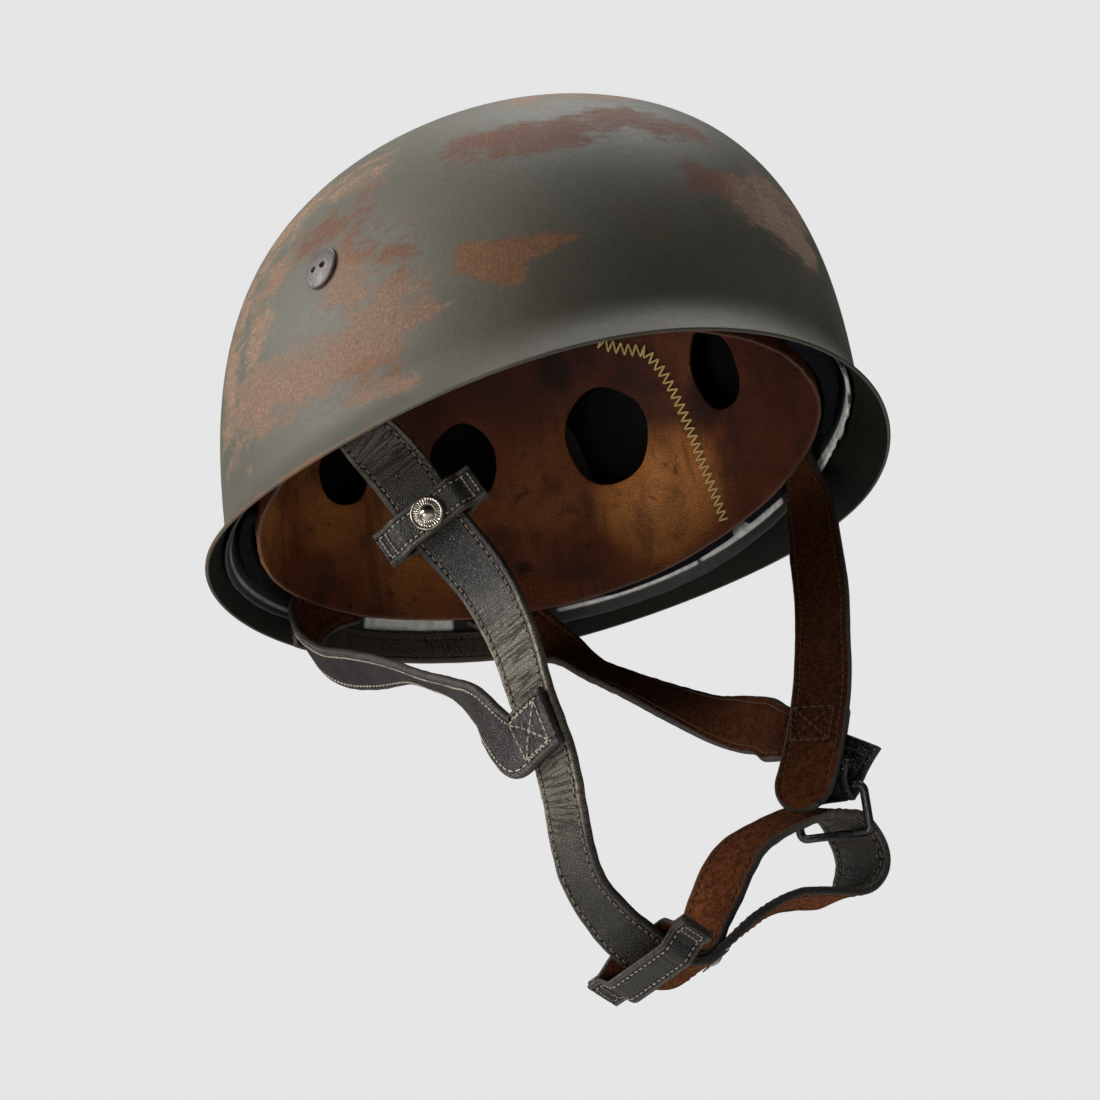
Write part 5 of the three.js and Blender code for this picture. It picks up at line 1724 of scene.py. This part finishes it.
# %% [markdown]
# ## The buckle
# The buckle is a flat black frame. Its rounded section is carried round a rectangle with rounded
# corners, and the chin strap turns round its lower bar. The leather tab that holds it is folded
# round the upper bar and its free end flares out.

# %% Make the buckle
enamel, tree, shader, spot = new_finish("buckle")
where = spot.outputs["Object"]
chips = ease(tree, grainy(tree, where, 420.0, 6.0, 0.7), 0.62, 0.7)
feed(tree, shader.inputs["Base Color"],
     blend_colour(tree, chips, (0.010, 0.010, 0.012), (0.12, 0.11, 0.10)))
feed(tree, shader.inputs["Metallic"], calc(tree, "MULTIPLY", chips, 0.7))
cloudy = grainy(tree, where, 300.0, 3.0)
feed(tree, shader.inputs["Roughness"], ease(tree, cloudy, 0.3, 0.7, 0.2, 0.34))
raise_bumps(tree, shader, grainy(tree, where, 500.0, 3.0, 0.6), 0.00008)

BUCKLE = {"length": 32.0, "height": 20.0, "bar": 3.0, "thickness": 2.2, "corner": 2.6, "tab": 19.0}
BUCKLE_BAR = (0.42, -0.88, -0.17)
BUCKLE_FOOT = (59.0, -67.3, -146.2)
BUCKLE_RISE = (-0.15, -0.28, 0.95)


def buckle_rings():
    """Sections round a rounded rectangle: four straight bars and four quarter turns."""
    b = BUCKLE
    x, low, high, r = b["length"] / 2 - b["bar"] / 2, 0.0, b["height"] - b["bar"], b["corner"]
    path, out = [], []
    corners = [(x - r, low + r, -90), (x - r, high - r, 0),
               (-x + r, high - r, 90), (-x + r, low + r, 180)]
    for cx, cy, start in corners:
        turn = np.radians(np.linspace(start, start + 90, 12))
        aim = np.stack([np.cos(turn), np.sin(turn)], -1)
        path.append(np.array([cx, cy]) + r * aim)
        out.append(aim)
    path, out = np.concatenate(path), np.concatenate(out)
    swing = np.linspace(0, 2 * np.pi, 20, endpoint=False)
    soft = (np.abs(np.cos(swing)) ** 4 + np.abs(np.sin(swing)) ** 4) ** (-1 / 4)
    across = soft * np.cos(swing) * b["bar"] / 2
    lift = soft * np.sin(swing) * b["thickness"] / 2
    flat = path[:, None] + across[None, :, None] * out[:, None]
    return np.concatenate([flat, np.broadcast_to(lift[None, :, None], (*flat.shape[:2], 1))], -1)


bar = unit(np.array(BUCKLE_BAR))
rise = np.array(BUCKLE_RISE)
rise = unit(rise - (rise @ bar) * bar)
rings = buckle_rings() @ np.array([bar, rise, np.cross(bar, rise)]) + np.array(BUCKLE_FOOT)
make_piece("buckle_ring", rings.reshape(-1, 3), [grid_faces(*rings.shape[:2], over=True)],
           [enamel], ["buckle_frame"])
tab_frames = even_frames(BUCKLE_TAB, 21, 0.8)
strap_skin("buckle_fold", tab_frames, BUCKLE["tab"], BUCKLE["thickness"],
           [dark_leather, dark_leather, cut_edge], ["buckle_tab"], None, 0.08, 52)
print("buckle made")

# %% [markdown]
# ## The floor, and the end
# The floor is a plain pale sheet well below the hanging straps. The small lamps hardly reach
# the floor, so it shines a little where the camera sees it, and lights nothing.

# %% Floor and finish
floor_finish, tree, shader, spot = new_finish("floor")
haze = grainy(tree, spot.outputs["Object"], 2.0, 2.0)
feed(tree, shader.inputs["Base Color"],
     blend_colour(tree, haze, (0.76, 0.76, 0.76), (0.80, 0.80, 0.80)))
shader.inputs["Roughness"].default_value = 0.9
shader.inputs["Emission Color"].default_value = (1.0, 1.0, 1.0, 1.0)
seen = node_of(tree, "ShaderNodeLightPath").outputs["Is Camera Ray"]
feed(tree, shader.inputs["Emission Strength"], calc(tree, "MULTIPLY", seen, FLOOR_SEEN))
floor_mesh = bpy.data.meshes.new("floor")
floor_mesh.from_pydata([(x * FLOOR_HALF, y * FLOOR_HALF, FLOOR_HEIGHT)
                        for x, y in ((-1, -1), (1, -1), (1, 1), (-1, 1))], [], [(0, 1, 2, 3)])
floor_mesh.materials.append(floor_finish)
floor = bpy.data.objects.new("floor", floor_mesh)
scene.collection.objects.link(floor)
